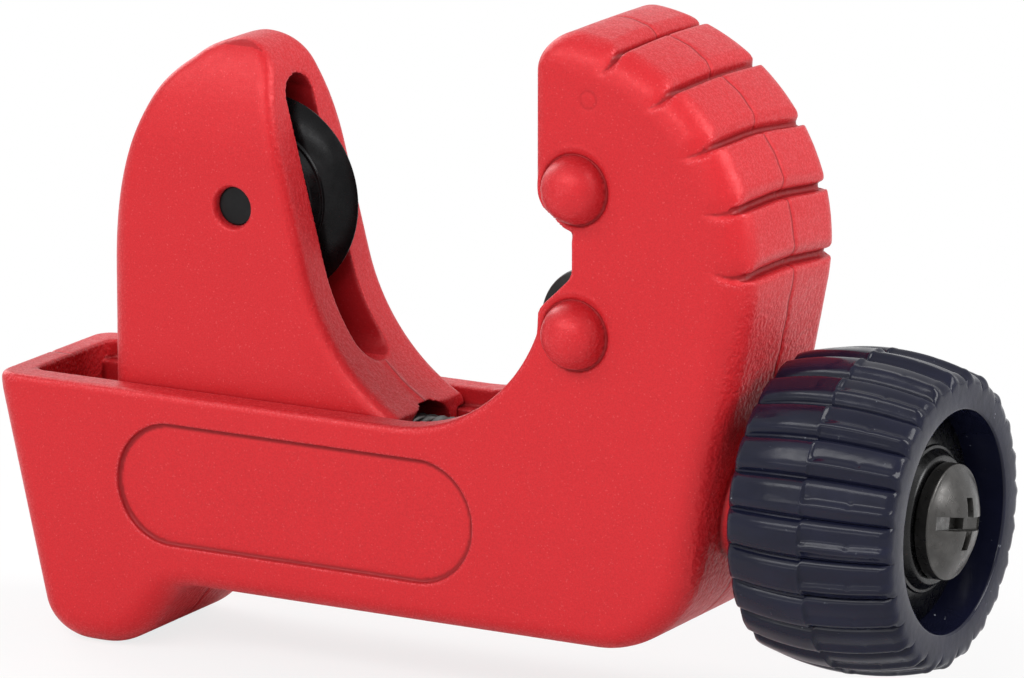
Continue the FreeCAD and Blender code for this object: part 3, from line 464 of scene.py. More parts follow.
class Surface(Nodes):
    """A material's node tree, with the few patterns that the finishes share."""

    def __init__(self, name: str) -> None:
        """Starts an empty material.

        Args:
            name: The material's name.
        """
        self.material = bpy.data.materials.new(name)
        self.material.use_nodes = True
        super().__init__(self.material.node_tree)
        self.tree.nodes.clear()
        self.place = self.add("ShaderNodeTexCoord").outputs["Object"]

    def times(self, first: object, second: object) -> bpy.types.NodeSocket:
        """The product of two values or sockets."""
        return self.math("MULTIPLY", first, second)

    def vector(self, operation: str, *values: object) -> bpy.types.Node:
        """A Vector Math node on vectors or sockets."""
        return self.add("ShaderNodeVectorMath", dict(enumerate(values)), operation=operation)

    def attribute(self, name: str) -> bpy.types.NodeSocket:
        """The number that the mesh carries under a name."""
        return self.add("ShaderNodeAttribute", attribute_name=name).outputs["Fac"]

    def noise(
        self, size: float, detail: float = 2.0, stretch: Place = (1, 1, 1)
    ) -> bpy.types.NodeSocket:
        """Noise with features of a size.

        Args:
            size: The size of a feature in millimetres.
            detail: How many finer layers it has.
            stretch: How much the pattern is drawn out along each axis.

        Returns:
            The noise, about 0.5.
        """
        scale = tuple(1.0 / (MM * size * s) for s in stretch)
        spot = self.made("ShaderNodeMapping", {"Vector": self.place, "Scale": scale})
        node = self.add("ShaderNodeTexNoise", {"Vector": spot, "Scale": 1.0, "Detail": detail})
        return node.outputs["Fac"]

    def cells(self, size: float) -> bpy.types.NodeSocket:
        """A random number for each grain.

        Args:
            size: The size of a grain in millimetres.

        Returns:
            The number, from 0 to 1.
        """
        inputs = {"Vector": self.place, "Scale": 1.0 / (MM * size)}
        colour = self.add("ShaderNodeTexVoronoi", inputs).outputs["Color"]
        return self.made("ShaderNodeSeparateColor", {0: colour})

    def ramp(self, value: object, over: Range, to: Range = ON_OFF) -> bpy.types.NodeSocket:
        """A smooth rise between two values.

        Args:
            value: What it follows.
            over: Where the rise starts and ends.
            to: The results at its ends.

        Returns:
            The risen value.
        """
        limits = ("From Min", "From Max", "To Min", "To Max")
        inputs = {"Value": value, **dict(zip(limits, (*over, *to)))}
        node = self.add("ShaderNodeMapRange", inputs, interpolation_type="SMOOTHSTEP")
        return node.outputs["Result"]

    def mix(self, share: object, first: object, second: object) -> bpy.types.NodeSocket:
        """A mix of two colours.

        Args:
            share: How much of the second colour it holds.
            first: A colour or a socket.
            second: Another one.

        Returns:
            The mixed colour.
        """
        values = [v if isinstance(v, bpy.types.NodeSocket) else (*v, 1.0) for v in (first, second)]
        node = self.add("ShaderNodeMix", {0: share, 6: values[0], 7: values[1]}, data_type="RGBA")
        return node.outputs[2]

    def tint(
        self, colour: object, new: object, where: object, share: float
    ) -> bpy.types.NodeSocket:
        """A colour turned to a new one where a pattern says, by a share of it."""
        return self.mix(self.times(where, share), colour, new)

    def bump(
        self, height: object, depth: float, over: object | None = None
    ) -> bpy.types.NodeSocket:
        """A relief.

        Args:
            height: The height, from 0 to 1.
            depth: How deep the relief is, in millimetres.
            over: Another relief that it lies on.

        Returns:
            The new normal.
        """
        inputs = {"Height": height, "Distance": depth * MM, "Strength": 1.0}
        if over is not None:
            inputs["Normal"] = over
        return self.made("ShaderNodeBump", inputs)

    def rings(self, centre: Place, axis: Axis, pitch: float) -> bpy.types.NodeSocket:
        """Turning marks about an axis, which waver a little.

        Args:
            centre: A point of the axis in millimetres.
            axis: Its direction.
            pitch: The distance from mark to mark in millimetres.

        Returns:
            A wave from 0 to 1.
        """
        flat = (0.0, 1.0, 1.0) if axis is Axis.ALONG else (1.0, 0.0, 1.0)
        shifted = self.vector("SUBTRACT", self.place, tuple(c * MM for c in centre)).outputs[0]
        across = self.vector("MULTIPLY", shifted, flat).outputs[0]
        radius = self.vector("LENGTH", across).outputs["Value"]
        wobble_size, wobble = 1.2, 1.4
        turned = self.times(radius, 2 * math.pi / (pitch * MM))
        phase = self.math("ADD", turned, self.times(self.noise(wobble_size), wobble))
        return self.math("MULTIPLY_ADD", self.math("SINE", phase), 0.5, 0.5)

    def close(self, **inputs: object) -> bpy.types.Material:
        """Ends the tree in a Principled shader.

        Args:
            inputs: Its inputs, with underscores for spaces.

        Returns:
            The material.
        """
        named = {}
        for name, value in inputs.items():
            flat_colour = name == "Base_Color" and not isinstance(value, bpy.types.NodeSocket)
            named[name.replace("_", " ")] = (*value, 1.0) if flat_colour else value
        shader = self.add("ShaderNodeBsdfPrincipled", named)
        self.add("ShaderNodeOutputMaterial", {"Surface": shader.outputs[0]})
        return self.material


@dataclass(frozen=True)
class PowderCoat:
    """Baked powder coat with fine metal flake, over the grain of the casting.

    The mesh carries where it is hollow, where its edges and the feet of its grooves are, how
    far its parting line is and how pebbled it is. Hollows, groove feet, the parting line and
    the other marked places get painted shade, and edges and places seen aslant a painted sheen.
    """

    name: str = "red_powder_coat"
    colour: Colour = (0.58, 0.017, 0.023)
    warm: Colour = (0.68, 0.022, 0.030)
    flake_colour: Colour = (0.85, 0.22, 0.24)
    # pale and deep make a painted sheen aslant and on edges; shade and seam_colour are painted
    # shade
    pale: Colour = (0.88, 0.21, 0.24)
    deep: Colour = (0.36, 0.005, 0.008)
    shade: Colour = (0.20, 0.003, 0.005)
    seam_colour: Colour = (0.24, 0.003, 0.006)
    dimmed: float = 0.88
    grain_size: float = 0.13
    grain_range: Range = (0.30, 0.62)
    grain_depth: float = 0.014
    cloud_size: float = 6.0
    cloud_share: float = 0.08
    flake_size: float = 0.11
    flake_count: float = 0.04
    flake_share: float = 0.15
    facing_blend: float = 0.45
    facing_power: float = 1.6
    speck_size: float = 0.17
    speck_range: Range = (0.47, 0.60)
    speck_share: float = 0.42
    edge_share: float = 0.6
    deep_share: float = 0.50
    shade_share: float = 0.80
    pebble_size: float = 0.45
    pebble_depth: float = 0.150
    seam_width: float = 0.13
    seam_share: float = 0.85
    gloss_size: float = 0.9
    roughness: Range = (0.36, 0.46)

    def material(self) -> bpy.types.Material:
        """Builds the finish.

        Returns:
            The material.
        """
        s = Surface(self.name)
        grain = s.noise(self.grain_size, 2.0)
        pebbles = s.times(s.noise(self.pebble_size, 1.0), s.attribute("pebble"))
        relief = s.bump(grain, self.grain_depth, s.bump(pebbles, self.pebble_depth))
        return s.close(
            Base_Color=self.wear_and_painted_light(s, self.paint(s, grain)),
            Metallic=0.12,
            Roughness=s.ramp(s.noise(self.gloss_size, 2.0), MOST_OF_NOISE, self.roughness),
            Normal=relief,
            Specular_IOR_Level=0.22,
            Coat_Weight=0.04,
            Coat_Roughness=0.30,
        )

    def paint(self, s: Surface, grain: bpy.types.NodeSocket) -> bpy.types.NodeSocket:
        """The paint's own colour.

        Args:
            s: The material's tree.
            grain: The grain of the casting.

        Returns:
            The colour, with its clouds and its flakes.
        """
        dim = tuple(c * self.dimmed for c in self.colour)
        colour = s.mix(s.ramp(grain, self.grain_range), dim, self.colour)
        cloud = s.ramp(s.noise(self.cloud_size, 3.0), MOST_OF_NOISE)
        colour = s.tint(colour, self.warm, cloud, self.cloud_share)
        flakes = s.ramp(s.cells(self.flake_size), (1.0 - self.flake_count, 1.0))
        return s.tint(colour, self.flake_colour, flakes, self.flake_share)

    def wear_and_painted_light(self, s: Surface, colour: bpy.types.NodeSocket) -> bpy.types.NodeSocket:
        """The painted light on the coat: a painted sheen of pale and dark specks where it is seen
        aslant and on its edges, and painted shade in hollows, at groove feet and along the seam.

        Args:
            s: The material's tree.
            colour: The paint's own colour.

        Returns:
            The changed colour.
        """
        # painted sheen: pale specks where the coat is seen aslant and on its edges, dark specks
        # between them where it is seen aslant
        facing = s.add("ShaderNodeLayerWeight", {"Blend": self.facing_blend}).outputs["Facing"]
        slanting = s.math("POWER", facing, self.facing_power)
        specks = s.ramp(s.noise(self.speck_size, 3.0), self.speck_range)
        shown = s.math("MAXIMUM", slanting, s.times(s.attribute("edge"), self.edge_share))
        colour = s.tint(colour, self.pale, s.times(shown, specks), self.speck_share)
        blanks = s.times(slanting, s.math("SUBTRACT", 1.0, specks))
        colour = s.tint(colour, self.deep, blanks, self.deep_share)
        # painted shade in hollows and in the places marked as groove: groove feet, panel line,
        # channel, slot walls and boss feet
        dark = s.math("MAXIMUM", s.attribute("hollow"), s.attribute("groove"))
        colour = s.tint(colour, self.shade, dark, self.shade_share)
        # painted shade along the parting line
        away = s.math("ABSOLUTE", s.attribute("seam_away"))
        seam = s.ramp(away, (0.0, self.seam_width), (1.0, 0.0))
        return s.tint(colour, self.seam_colour, seam, self.seam_share)


@dataclass(frozen=True)
class GlossPlastic:
    """Glossy moulded plastic with faint flow marks and a few scuffs."""

    name: str = "navy_plastic"
    colour: Colour = (0.0060, 0.0068, 0.018)
    light: float = 1.6
    flow_size: float = 2.4
    flow_stretch: Place = (2.2, 1.0, 1.0)
    flow_range: Range = (0.35, 0.7)
    flow_share: float = 0.5
    scuff_colour: Colour = (0.30, 0.32, 0.36)
    scuff_sizes: Range = (0.5, 3.0)
    scratch_range: Range = (0.70, 0.76)
    patch_range: Range = (0.52, 0.62)
    scuff_share: float = 0.8
    wave_size: float = 1.3
    wave_stretch: Place = (2.5, 1.0, 1.0)
    wave_depth: float = 0.035
    grain_size: float = 0.30
    grain_depth: float = 0.003
    gloss_size: float = 1.1
    gloss_range: Range = (0.3, 0.75)
    roughness: Range = (0.12, 0.24)

    def material(self) -> bpy.types.Material:
        """Builds the finish.

        Returns:
            The material.
        """
        s = Surface(self.name)
        flow = s.ramp(s.noise(self.flow_size, 3.0, self.flow_stretch), self.flow_range)
        lighter = tuple(c * self.light for c in self.colour)
        colour = s.tint(self.colour, lighter, flow, self.flow_share)
        fine, patch = self.scuff_sizes
        scratches = s.ramp(s.noise(fine, 4.0), self.scratch_range)
        scuffs = s.times(scratches, s.ramp(s.noise(patch), self.patch_range))
        colour = s.tint(colour, self.scuff_colour, scuffs, self.scuff_share)
        rough = s.ramp(s.noise(self.gloss_size, 3.0), self.gloss_range, self.roughness)
        waves = s.bump(s.noise(self.wave_size, 2.0, self.wave_stretch), self.wave_depth)
        relief = s.bump(s.noise(self.grain_size, 2.0), self.grain_depth, waves)
        return s.close(Base_Color=colour, Roughness=rough, Normal=relief, Specular_IOR_Level=0.20)


@dataclass(frozen=True)
class DarkSteel:
    """Turned steel with its machining marks, blackened or left bare."""

    name: str
    colour: Colour
    centre: Place
    axis: Axis
    roughness: Range = (0.30, 0.46)
    metallic: float = 0.85
    mark_pitch: float = 0.16
    mark_depth: float = 0.004
    grain_size: float = 0.12
    grain_depth: float = 0.003
    patch_size: float = 1.6
    patch_range: Range = (0.42, 0.72)
    wear_and_painted_light: float = 0.25
    worn_light: Range = (2.2, 0.01)
    gloss_size: float = 0.6
    specular: float = 0.5

    def material(self) -> bpy.types.Material:
        """Builds the finish.

        Returns:
            The material.
        """
        s = Surface(self.name)
        times, more = self.worn_light
        light = tuple(min(c * times + more, 1.0) for c in self.colour)
        patches = s.ramp(s.noise(self.patch_size, 4.0), self.patch_range)
        marks = s.bump(s.rings(self.centre, self.axis, self.mark_pitch), self.mark_depth)
        return s.close(
            Base_Color=s.tint(self.colour, light, patches, self.wear_and_painted_light),
            Metallic=self.metallic,
            Roughness=s.ramp(s.noise(self.gloss_size, 3.0), MOST_OF_NOISE, self.roughness),
            Normal=s.bump(s.noise(self.grain_size, 2.0), self.grain_depth, marks),
            Specular_IOR_Level=self.specular,
        )


def hand_over(
    piece: bpy.types.Object, body: Body, node: str, finish: bpy.types.Material
) -> bpy.types.Object:
    """Gives a finished piece its material, the body it rides on and the node it stands for.

    Args:
        piece: The piece.
        body: The body that carries it.
        node: The CAD node that it replaces.
        finish: Its material.

    Returns:
        The piece.
    """
    piece.data.materials.clear()
    piece.data.materials.append(finish)
    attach(piece, body.value)
    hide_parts(node)
    LOG.info("%s: %d faces on %s", piece.name, len(piece.data.polygons), body.value)
    return piece


# Castings


@dataclass(frozen=True)
class SoftCasting:
    """How a casting gets the soft edges of its coat."""

    voxel: float = 0.18
    passes: int = 3
    kept_share: float = 0.265
    relief_passes: int = 6
    relief_range: Range = (0.012, 0.075)

    def soften(self, node: str, name: str) -> bpy.types.Object:
        """Makes a soft-edged copy of a node.

        Args:
            node: The CAD node's name.
            name: The new piece's name.

        Returns:
            The piece, with an even mesh.
        """
        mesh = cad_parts[node].data.copy()
        mesh.materials.clear()
        work = bmesh.new()
        work.from_mesh(mesh)
        bmesh.ops.remove_doubles(work, verts=work.verts, dist=2 * MERGE_DISTANCE)
        work.to_mesh(mesh)
        work.free()
        piece = new_piece(name, mesh)
        remesh = piece.modifiers.new("even", "REMESH")
        remesh.mode = "VOXEL"
        remesh.voxel_size = self.voxel * MM
        smooth = piece.modifiers.new("soft", "SMOOTH")
        smooth.factor = 0.5
        smooth.iterations = self.passes
        return evaluated(piece)

    def mark_relief(self, mesh: bpy.types.Mesh) -> None:
        """Marks hollows and edges, by how far each place moves when the shape is evened out.
        The coat paints shade into the hollows and a sheen onto the edges.

        Args:
            mesh: The mesh to mark.
        """
        ends = np.empty(len(mesh.edges) * 2, dtype=np.int32)
        mesh.edges.foreach_get("vertices", ends)
        first, second = ends.reshape(-1, 2).T
        points = positions(mesh)
        count = len(points)
        joined = np.bincount(first, minlength=count) + np.bincount(second, minlength=count)
        joined = np.maximum(joined, 1)[:, None]
        even = points.copy()
        for _ in range(self.relief_passes):
            total = [
                np.bincount(first, column[second], count)
                + np.bincount(second, column[first], count)
                for column in even.T
            ]
            even = np.stack(total, axis=1) / joined
        moved = np.sum((even - points) * normals(mesh), axis=1)
        # hollow drives painted shade, edge drives a painted sheen
        mark(mesh, "hollow", smoothstep(*self.relief_range, moved))
        mark(mesh, "edge", smoothstep(*self.relief_range, -moved))

    def thin(self, piece: bpy.types.Object) -> None:
        """Marks the relief and leaves out the faces that flat areas don't need.

        Args:
            piece: The casting.
        """
        self.mark_relief(piece.data)
        decimate = piece.modifiers.new("thin", "DECIMATE")
        decimate.ratio = self.kept_share
        evaluated(piece)
        piece.data.shade_smooth()


@dataclass(frozen=True)
class CastFrame:
    """The C-shaped frame, with the channel, the jaw and its grip grooves.

    Angles on the jaw are in degrees from straight up towards the knob, and radii from the
    jaw's middle.
    """

    half_width: float = 9.0
    shoulder: float = 2.8
    jaw_middle: Range = (9.9, 40.3)
    jaw_radius: float = 18.7
    jaw_crown: Range = (0.45, 0.20)
    crown_radii: Range = (15.0, 16.8)
    crown_starts: Range = (-2.0, 12.0)
    crown_ends: Range = (92.0, 112.0)
    crown_eases: Range = (45.0, 85.0)
    eased_share: float = 0.6
    groove_angles: tuple[float, ...] = (19.2, 37.2, 55.2, 73.2, 91.2)
    groove_lead: float = 1.7
    groove_land: float = 0.6
    groove_bend: float = 1.6
    groove_cut: float = 0.38
    groove_shoal: Range = (4.8, 8.3)
    shoal_share: Range = (0.68, 0.30)
    shoal_most: float = 1.2
    shoal_over: float = 0.92
    foot_width: float = 0.24
    foot_depths: Range = (4.5, 3.0)
    foot_reach: Range = (-2.8, -0.6)
    tail_depth: float = 0.32
    tail_reach: tuple[float, float, float, float] = (1.2, 2.3, 2.5, 4.2)
    tail_growth: float = 1.6
    tail_grows: Range = (15.0, 75.0)
    tail_sweep: float = 0.5
    tail_taper: float = 0.45
    tail_radius: float = 4.0
    far_skew: float = 0.75
    skew_radii: Range = (14.2, 16.4)
    skew_starts: Range = (28.0, 58.0)
    skew_ends: Range = (94.0, 108.0)
    skew_sides: Range = (-2.0, 8.5)
    boss_at: tuple[Range, ...] = ((12.65, 45.95), (12.65, 33.55))
    boss_radius: float = 2.92
    boss_rise: float = 2.7
    boss_line: tuple[float, float, float] = (0.16, 0.16, 0.1)
    boss_blend: Range = (0.5, 0.9)
    boss_foot: Range = (0.55, 0.98)
    boss_shade: float = 0.30
    near_side: float = 0.6
    panel_at: Range = (-14.9, 15.5)
    panel_size: Range = (35.2, 10.7)
    panel_cut: float = 0.14
    panel_line_at: Range = (0.12, 0.20)
    panel_shade: float = 0.75
    seam_sink: float = 0.10
    seam_spread: float = 0.24
    seam_faces: float = 0.7
    seam_none: float = 9.0
    seam_waves: tuple[Place, ...] = ((0.13, 17.0, 0.0), (0.07, 41.0, 1.0))
    channel_x: Range = (-42.9, 18.2)
    channel_z: Range = (8.6, 52.6)
    channel_half: float = 6.5
    channel_top: float = 25.0
    inner_shade: float = 0.40
    ejector_at: Range = (13.9, 53.7)
    ejector_ring: tuple[float, float, float] = (0.75, 0.22, 0.07)
    ejector_side: float = 0.4
    pebble_least: float = 0.25
    pebble_faces: Range = (0.5, 0.95)
    pebble_fades: Range = (30.0, 42.0)
    casting: SoftCasting = SoftCasting()

    def build(self, coat: bpy.types.Material) -> bpy.types.Object:
        """Makes the frame.

        Args:
            coat: Its finish.

        Returns:
            The finished piece.
        """
        piece = self.casting.soften("body", "cast_frame")
        mesh = piece.data
        points, out = positions(mesh), normals(mesh)
        away = self.seam_away(points, out)
        line, rim = self.groove_line(points), self.panel_line(points)
        sunk = self.groove_tails(points) + self.ejector_mark(points)
        sunk += self.groove_cut * line + self.panel_cut * rim
        sunk += self.seam_sink * bell(away, self.seam_spread)
        move_to(mesh, self.domed(self.skewed(self.crowned(points)) - out * sunk[:, None]))
        # painted shade: darker at the groove feet, along the panel line, inside the channel and at
        # the feet of the bosses
        shaded = self.within(points) & (np.abs(points[:, 1]) < self.channel_half)
        shaded &= points[:, 2] < self.channel_top
        marks = (line, self.panel_shade * rim, self.inner_shade * shaded, self.boss_feet(points))
        low = 1.0 - smoothstep(*self.pebble_fades, points[:, 2])
        rough = smoothstep(*self.pebble_faces, out[:, 0]) * low
        mark(mesh, "seam_away", away)
        mark(mesh, "groove", np.maximum.reduce(marks))
        mark(mesh, "pebble", self.pebble_least + (1.0 - self.pebble_least) * rough)
        self.casting.thin(piece)
        return hand_over(piece, Body.FRAME, "body", coat)

    def round_jaw(self, points: np.ndarray) -> tuple[np.ndarray, ...]:
        """How places lie about the jaw's middle: along, up, the radius and the angle."""
        x, z = points[:, 0] - self.jaw_middle[0], points[:, 2] - self.jaw_middle[1]
        return x, z, np.maximum(np.hypot(x, z), TINY), np.degrees(np.arctan2(x, z))

    def crowned(self, points: np.ndarray) -> np.ndarray:
        """Crowns the jaw's back across its width and makes its grooves shallower at their ends.

        Args:
            points: Places on the frame, in millimetres.

        Returns:
            The moved places.
        """
        x, z, rim, angle = self.round_jaw(points)
        wide = np.abs(points[:, 1])
        over = np.clip((wide - self.half_width + self.shoulder) / self.shoulder, 0.0, 1.0)
        top = self.jaw_radius - self.shoulder + self.shoulder * np.sqrt(1.0 - over**2)
        share = np.where(points[:, 1] < 0.0, *self.shoal_share) * (over < self.shoal_over)
        fill = np.clip(top - rim, 0.0, self.shoal_most) * share
        fill *= smoothstep(*self.groove_shoal, wide)
        rise, drop = self.jaw_crown
        eased = 1.0 - self.eased_share * smoothstep(*self.crown_eases, angle)
        crown = (rise * (1.0 - (wide / self.half_width) ** 2) - drop) * eased
        outer = smoothstep(*self.crown_radii, rim) * smoothstep(*self.crown_starts, angle)
        outer *= 1.0 - smoothstep(*self.crown_ends, angle)
        shift = (crown + fill) * outer / rim
        return points + np.stack((x * shift, np.zeros(len(points)), z * shift), axis=1)

    def skewed(self, points: np.ndarray) -> np.ndarray:
        """Turns the far ends of the lower grooves a little down, as the mould does.

        Args:
            points: Places on the frame, in millimetres.

        Returns:
            The moved places.
        """
        x, z, rim, angle = self.round_jaw(points)
        share = smoothstep(*self.skew_radii, rim) * smoothstep(*self.skew_starts, angle)
        share *= 1.0 - smoothstep(*self.skew_ends, angle)
        turn = self.far_skew * share * smoothstep(*self.skew_sides, points[:, 1]) / rim
        moved = points.copy()
        moved[:, 0] = x * np.cos(turn) + z * np.sin(turn) + self.jaw_middle[0]
        moved[:, 2] = z * np.cos(turn) - x * np.sin(turn) + self.jaw_middle[1]
        return moved

    def domed(self, points: np.ndarray) -> np.ndarray:
        """Gives the bosses over the roller pins full domes with a fine line round them.

        Args:
            points: Places on the frame, in millimetres.

        Returns:
            The moved places.
        """
        moved = points.copy()
        near = points[:, 1] < self.near_side - self.half_width
        ball = (self.boss_radius**2 + self.boss_rise**2) / (2 * self.boss_rise)
        depth, width, gap = self.boss_line
        for along, height in self.boss_at:
            away = np.hypot(points[:, 0] - along, points[:, 2] - height)
            cap = self.boss_rise - ball + np.sqrt(np.clip(ball**2 - away**2, 0.0, None))
            line = depth * bell(away - self.boss_radius - gap, width)
            rise = np.where(away < self.boss_radius, cap, 0.0) - line
            share = (1.0 - smoothstep(*self.boss_blend, away - self.boss_radius)) * near
            moved[:, 1] += share * (-self.half_width - rise - moved[:, 1])
        return moved

    def boss_feet(self, points: np.ndarray) -> np.ndarray:
        """How much painted shade the feet of the bosses get.

        Args:
            points: Places on the frame, in millimetres.

        Returns:
            From 0 away from the bosses to the full painted shade at their feet.
        """
        foot = np.zeros(len(points))
        for along, height in self.boss_at:
            away = np.hypot(points[:, 0] - along, points[:, 2] - height) / self.boss_radius
            on_boss = (away < 1.0) & (points[:, 1] < -self.half_width)
            foot += self.boss_shade * smoothstep(*self.boss_foot, away) * on_boss
        return foot

    def panel_line(self, points: np.ndarray) -> np.ndarray:
        """How near each place is to the fine line round the oval panel.

        Args:
            points: Places on the frame, in millimetres.

        Returns:
            From 0 away from the line to 1 on it.
        """
        along, up = points[:, 0] - self.panel_at[0], points[:, 2] - self.panel_at[1]
        length, width = self.panel_size
        beyond = np.clip(np.abs(along) - (length - width) / 2, 0.0, None)
        away = np.hypot(beyond, up) - width / 2
        inside, spread = self.panel_line_at
        return bell(away + inside, spread) * (points[:, 1] < self.near_side - self.half_width)

    def seam_away(self, points: np.ndarray, out: np.ndarray) -> np.ndarray:
        """How far each place is from the line where the mould's halves met.

        Args:
            points: Places on the frame, in millimetres.
            out: The normals there.

        Returns:
            The distances in millimetres, large where the line doesn't run.
        """
        x, z, _, _ = self.round_jaw(points)
        turn = np.arctan2(x, z)
        wander = sum(size * np.sin(turn * count + start) for size, count, start in self.seam_waves)
        none = self.within(points) | (np.abs(out[:, 1]) > self.seam_faces)
        return np.where(none, self.seam_none, points[:, 1] - wander)

    def within(self, points: np.ndarray) -> np.ndarray:
        """Which places lie inside the channel or the jaw's slot, or beside them.

        Args:
            points: Places on the frame, in millimetres.

        Returns:
            True for each place that does.
        """
        along, up = points[:, 0], points[:, 2]
        low, high = zip(self.channel_x, self.channel_z)
        return (along > low[0]) & (along < high[0]) & (up > low[1]) & (up < high[1])

    def groove_tails(self, points: np.ndarray) -> np.ndarray:
        """How deep the grip grooves run out over the jaw's shoulders.

        Args:
            points: Places on the frame, in millimetres.

        Returns:
            The depth at each.
        """
        _, _, rim, angle = self.round_jaw(points)
        over = np.abs(points[:, 1]) - (self.half_width - self.shoulder)
        below = rim - (self.jaw_radius - self.shoulder)
        bend = np.arctan2(np.clip(over, 0.0, None), np.clip(below, TINY, None))
        path = self.shoulder * bend + np.clip(-below, 0.0, None)
        start, full, fade, end = self.tail_reach
        end = end + self.tail_growth * smoothstep(*self.tail_grows, angle)
        share = smoothstep(start, full, path) * (1.0 - smoothstep(fade, end, path)) * (over > 0.0)
        sweep = self.tail_sweep * smoothstep(full, end, path)
        narrow = 1.0 - self.tail_taper * smoothstep(full, end, path)
        reach = np.clip(rim, self.jaw_radius - self.tail_radius, None)
        depth = np.zeros(len(points))
        for middle in self.groove_angles:
            t = np.radians(angle - middle) * reach + sweep
            lead = np.clip(1.0 + t / (self.groove_lead * narrow), 0.0, 1.0) ** self.groove_bend
            land = np.clip(1.0 - t / (self.groove_land * narrow), 0.0, 1.0)
            depth += np.where(t < 0.0, lead, land) * share
        return depth * self.tail_depth

    def ejector_mark(self, points: np.ndarray) -> np.ndarray:
        """How deep the faint ring is that the mould's pin left on the near side.

        Args:
            points: Places on the frame, in millimetres.

        Returns:
            The depth at each.
        """
        radius, spread, depth = self.ejector_ring
        away = np.hypot(points[:, 0] - self.ejector_at[0], points[:, 2] - self.ejector_at[1])
        near = points[:, 1] < self.ejector_side - self.half_width
        return depth * bell(away - radius, spread) * near

    def groove_line(self, points: np.ndarray) -> np.ndarray:
        """How near each place is to the foot of a grip groove.

        Args:
            points: Places on the frame, in millimetres.

        Returns:
            From 0 away from the grooves to 1 at a groove's foot.
        """
        _, _, rim, angle = self.round_jaw(points)
        over = points[:, 1] + self.half_width - self.shoulder
        outer = smoothstep(*(self.jaw_radius - depth for depth in self.foot_depths), rim)
        outer = outer * smoothstep(*self.foot_reach, over)
        line = np.zeros(len(points))
        for middle in self.groove_angles:
            foot = bell(np.radians(angle - middle) * rim, self.foot_width)
            line = np.maximum(line, foot)
        return line * outer


@dataclass(frozen=True)
class CarriageCasting:
    """The sliding carriage that holds the cutting wheel.

    Places along and up are measured from the wheel's middle.
    """

    half_width: float = 6.0
    top_band: Range = (8.0, 13.0)
    head_from: float = -3.8
    head_slope: float = 2.0
    head_rise: float = 0.22
    head_fades: Range = (0.45, 1.0)
    crown_drop: float = 0.28
    slot_foot: float = -13.0
    slot_half: float = 2.9
    slot_back: float = -10.5
    slot_shade: float = 0.55
    eye_shrink: float = 0.27
    eye_radii: Range = (2.1, 4.4)
    eye_depth: float = -4.2
    seam_ridge: float = 0.10
    seam_spread: float = 0.3
    seam_none: float = 9.0
    seam_faces: Range = (0.3, 0.5)
    front_faces: Range = (0.25, 0.7)
    slot_faces: float = 0.4
    pebbles: Range = (0.12, 0.30)
    casting: SoftCasting = SoftCasting(
        voxel=0.16, passes=6, kept_share=0.42, relief_passes=9, relief_range=(0.03, 0.13)
    )

    def build(self, coat: bpy.types.Material) -> bpy.types.Object:
        """Makes the carriage.

        Args:
            coat: Its finish.

        Returns:
            The finished piece.
        """
        piece = self.casting.soften("carriage", "sliding_carriage")
        mesh = piece.data
        points, out = positions(mesh), normals(mesh)
        x, z = points[:, 0] - WHEEL_MIDDLE[0], points[:, 2] - WHEEL_MIDDLE[2]
        self.shape(points, out, x, z)
        move_to(mesh, points)
        front = smoothstep(*self.front_faces, out[:, 0])
        # painted shade along the seam line on the front
        on_seam = (front > self.seam_faces[1]) & (z < self.slot_foot)
        mark(mesh, "seam_away", np.where(on_seam, points[:, 1], self.seam_none))
        # painted shade on the walls of the wheel's slot
        inner = (np.abs(points[:, 1]) < self.slot_half) & (np.abs(out[:, 1]) > self.slot_faces)
        mark(mesh, "groove", self.slot_shade * (inner & (x > self.slot_back)))
        mark(mesh, "pebble", self.pebbles[0] + self.pebbles[1] * front)
        self.casting.thin(piece)
        return hand_over(piece, Body.CARRIAGE, "carriage", coat)

    def shape(self, points: np.ndarray, out: np.ndarray, x: np.ndarray, z: np.ndarray) -> None:
        """Lowers the crown behind the head, narrows the near eye and raises the seam.

        Args:
            points: Places on the carriage in millimetres, which are moved.
            out: The normals there.
            x: How far along from the wheel's middle they lay.
            z: How far above it they lay.
        """
        behind = 1.0 - smoothstep(self.head_from - self.head_slope, self.head_from, x)
        wide = np.abs(points[:, 1]) / self.half_width
        head = behind * self.head_rise * (1.0 - smoothstep(*self.head_fades, wide))
        points[:, 2] -= (head + self.crown_drop * wide**3) * smoothstep(*self.top_band, z)
        away = np.maximum(np.hypot(x, z), TINY)
        near = points[:, 1] < self.eye_depth
        pull = self.eye_shrink * (1.0 - smoothstep(*self.eye_radii, away)) * near / away
        points[:, 0] -= x * pull
        points[:, 2] -= z * pull
        on_front = (z < self.slot_foot) & (out[:, 0] > self.seam_faces[0])
        points += out * (self.seam_ridge * bell(points[:, 1], self.seam_spread) * on_front)[:, None]


# Turned pieces


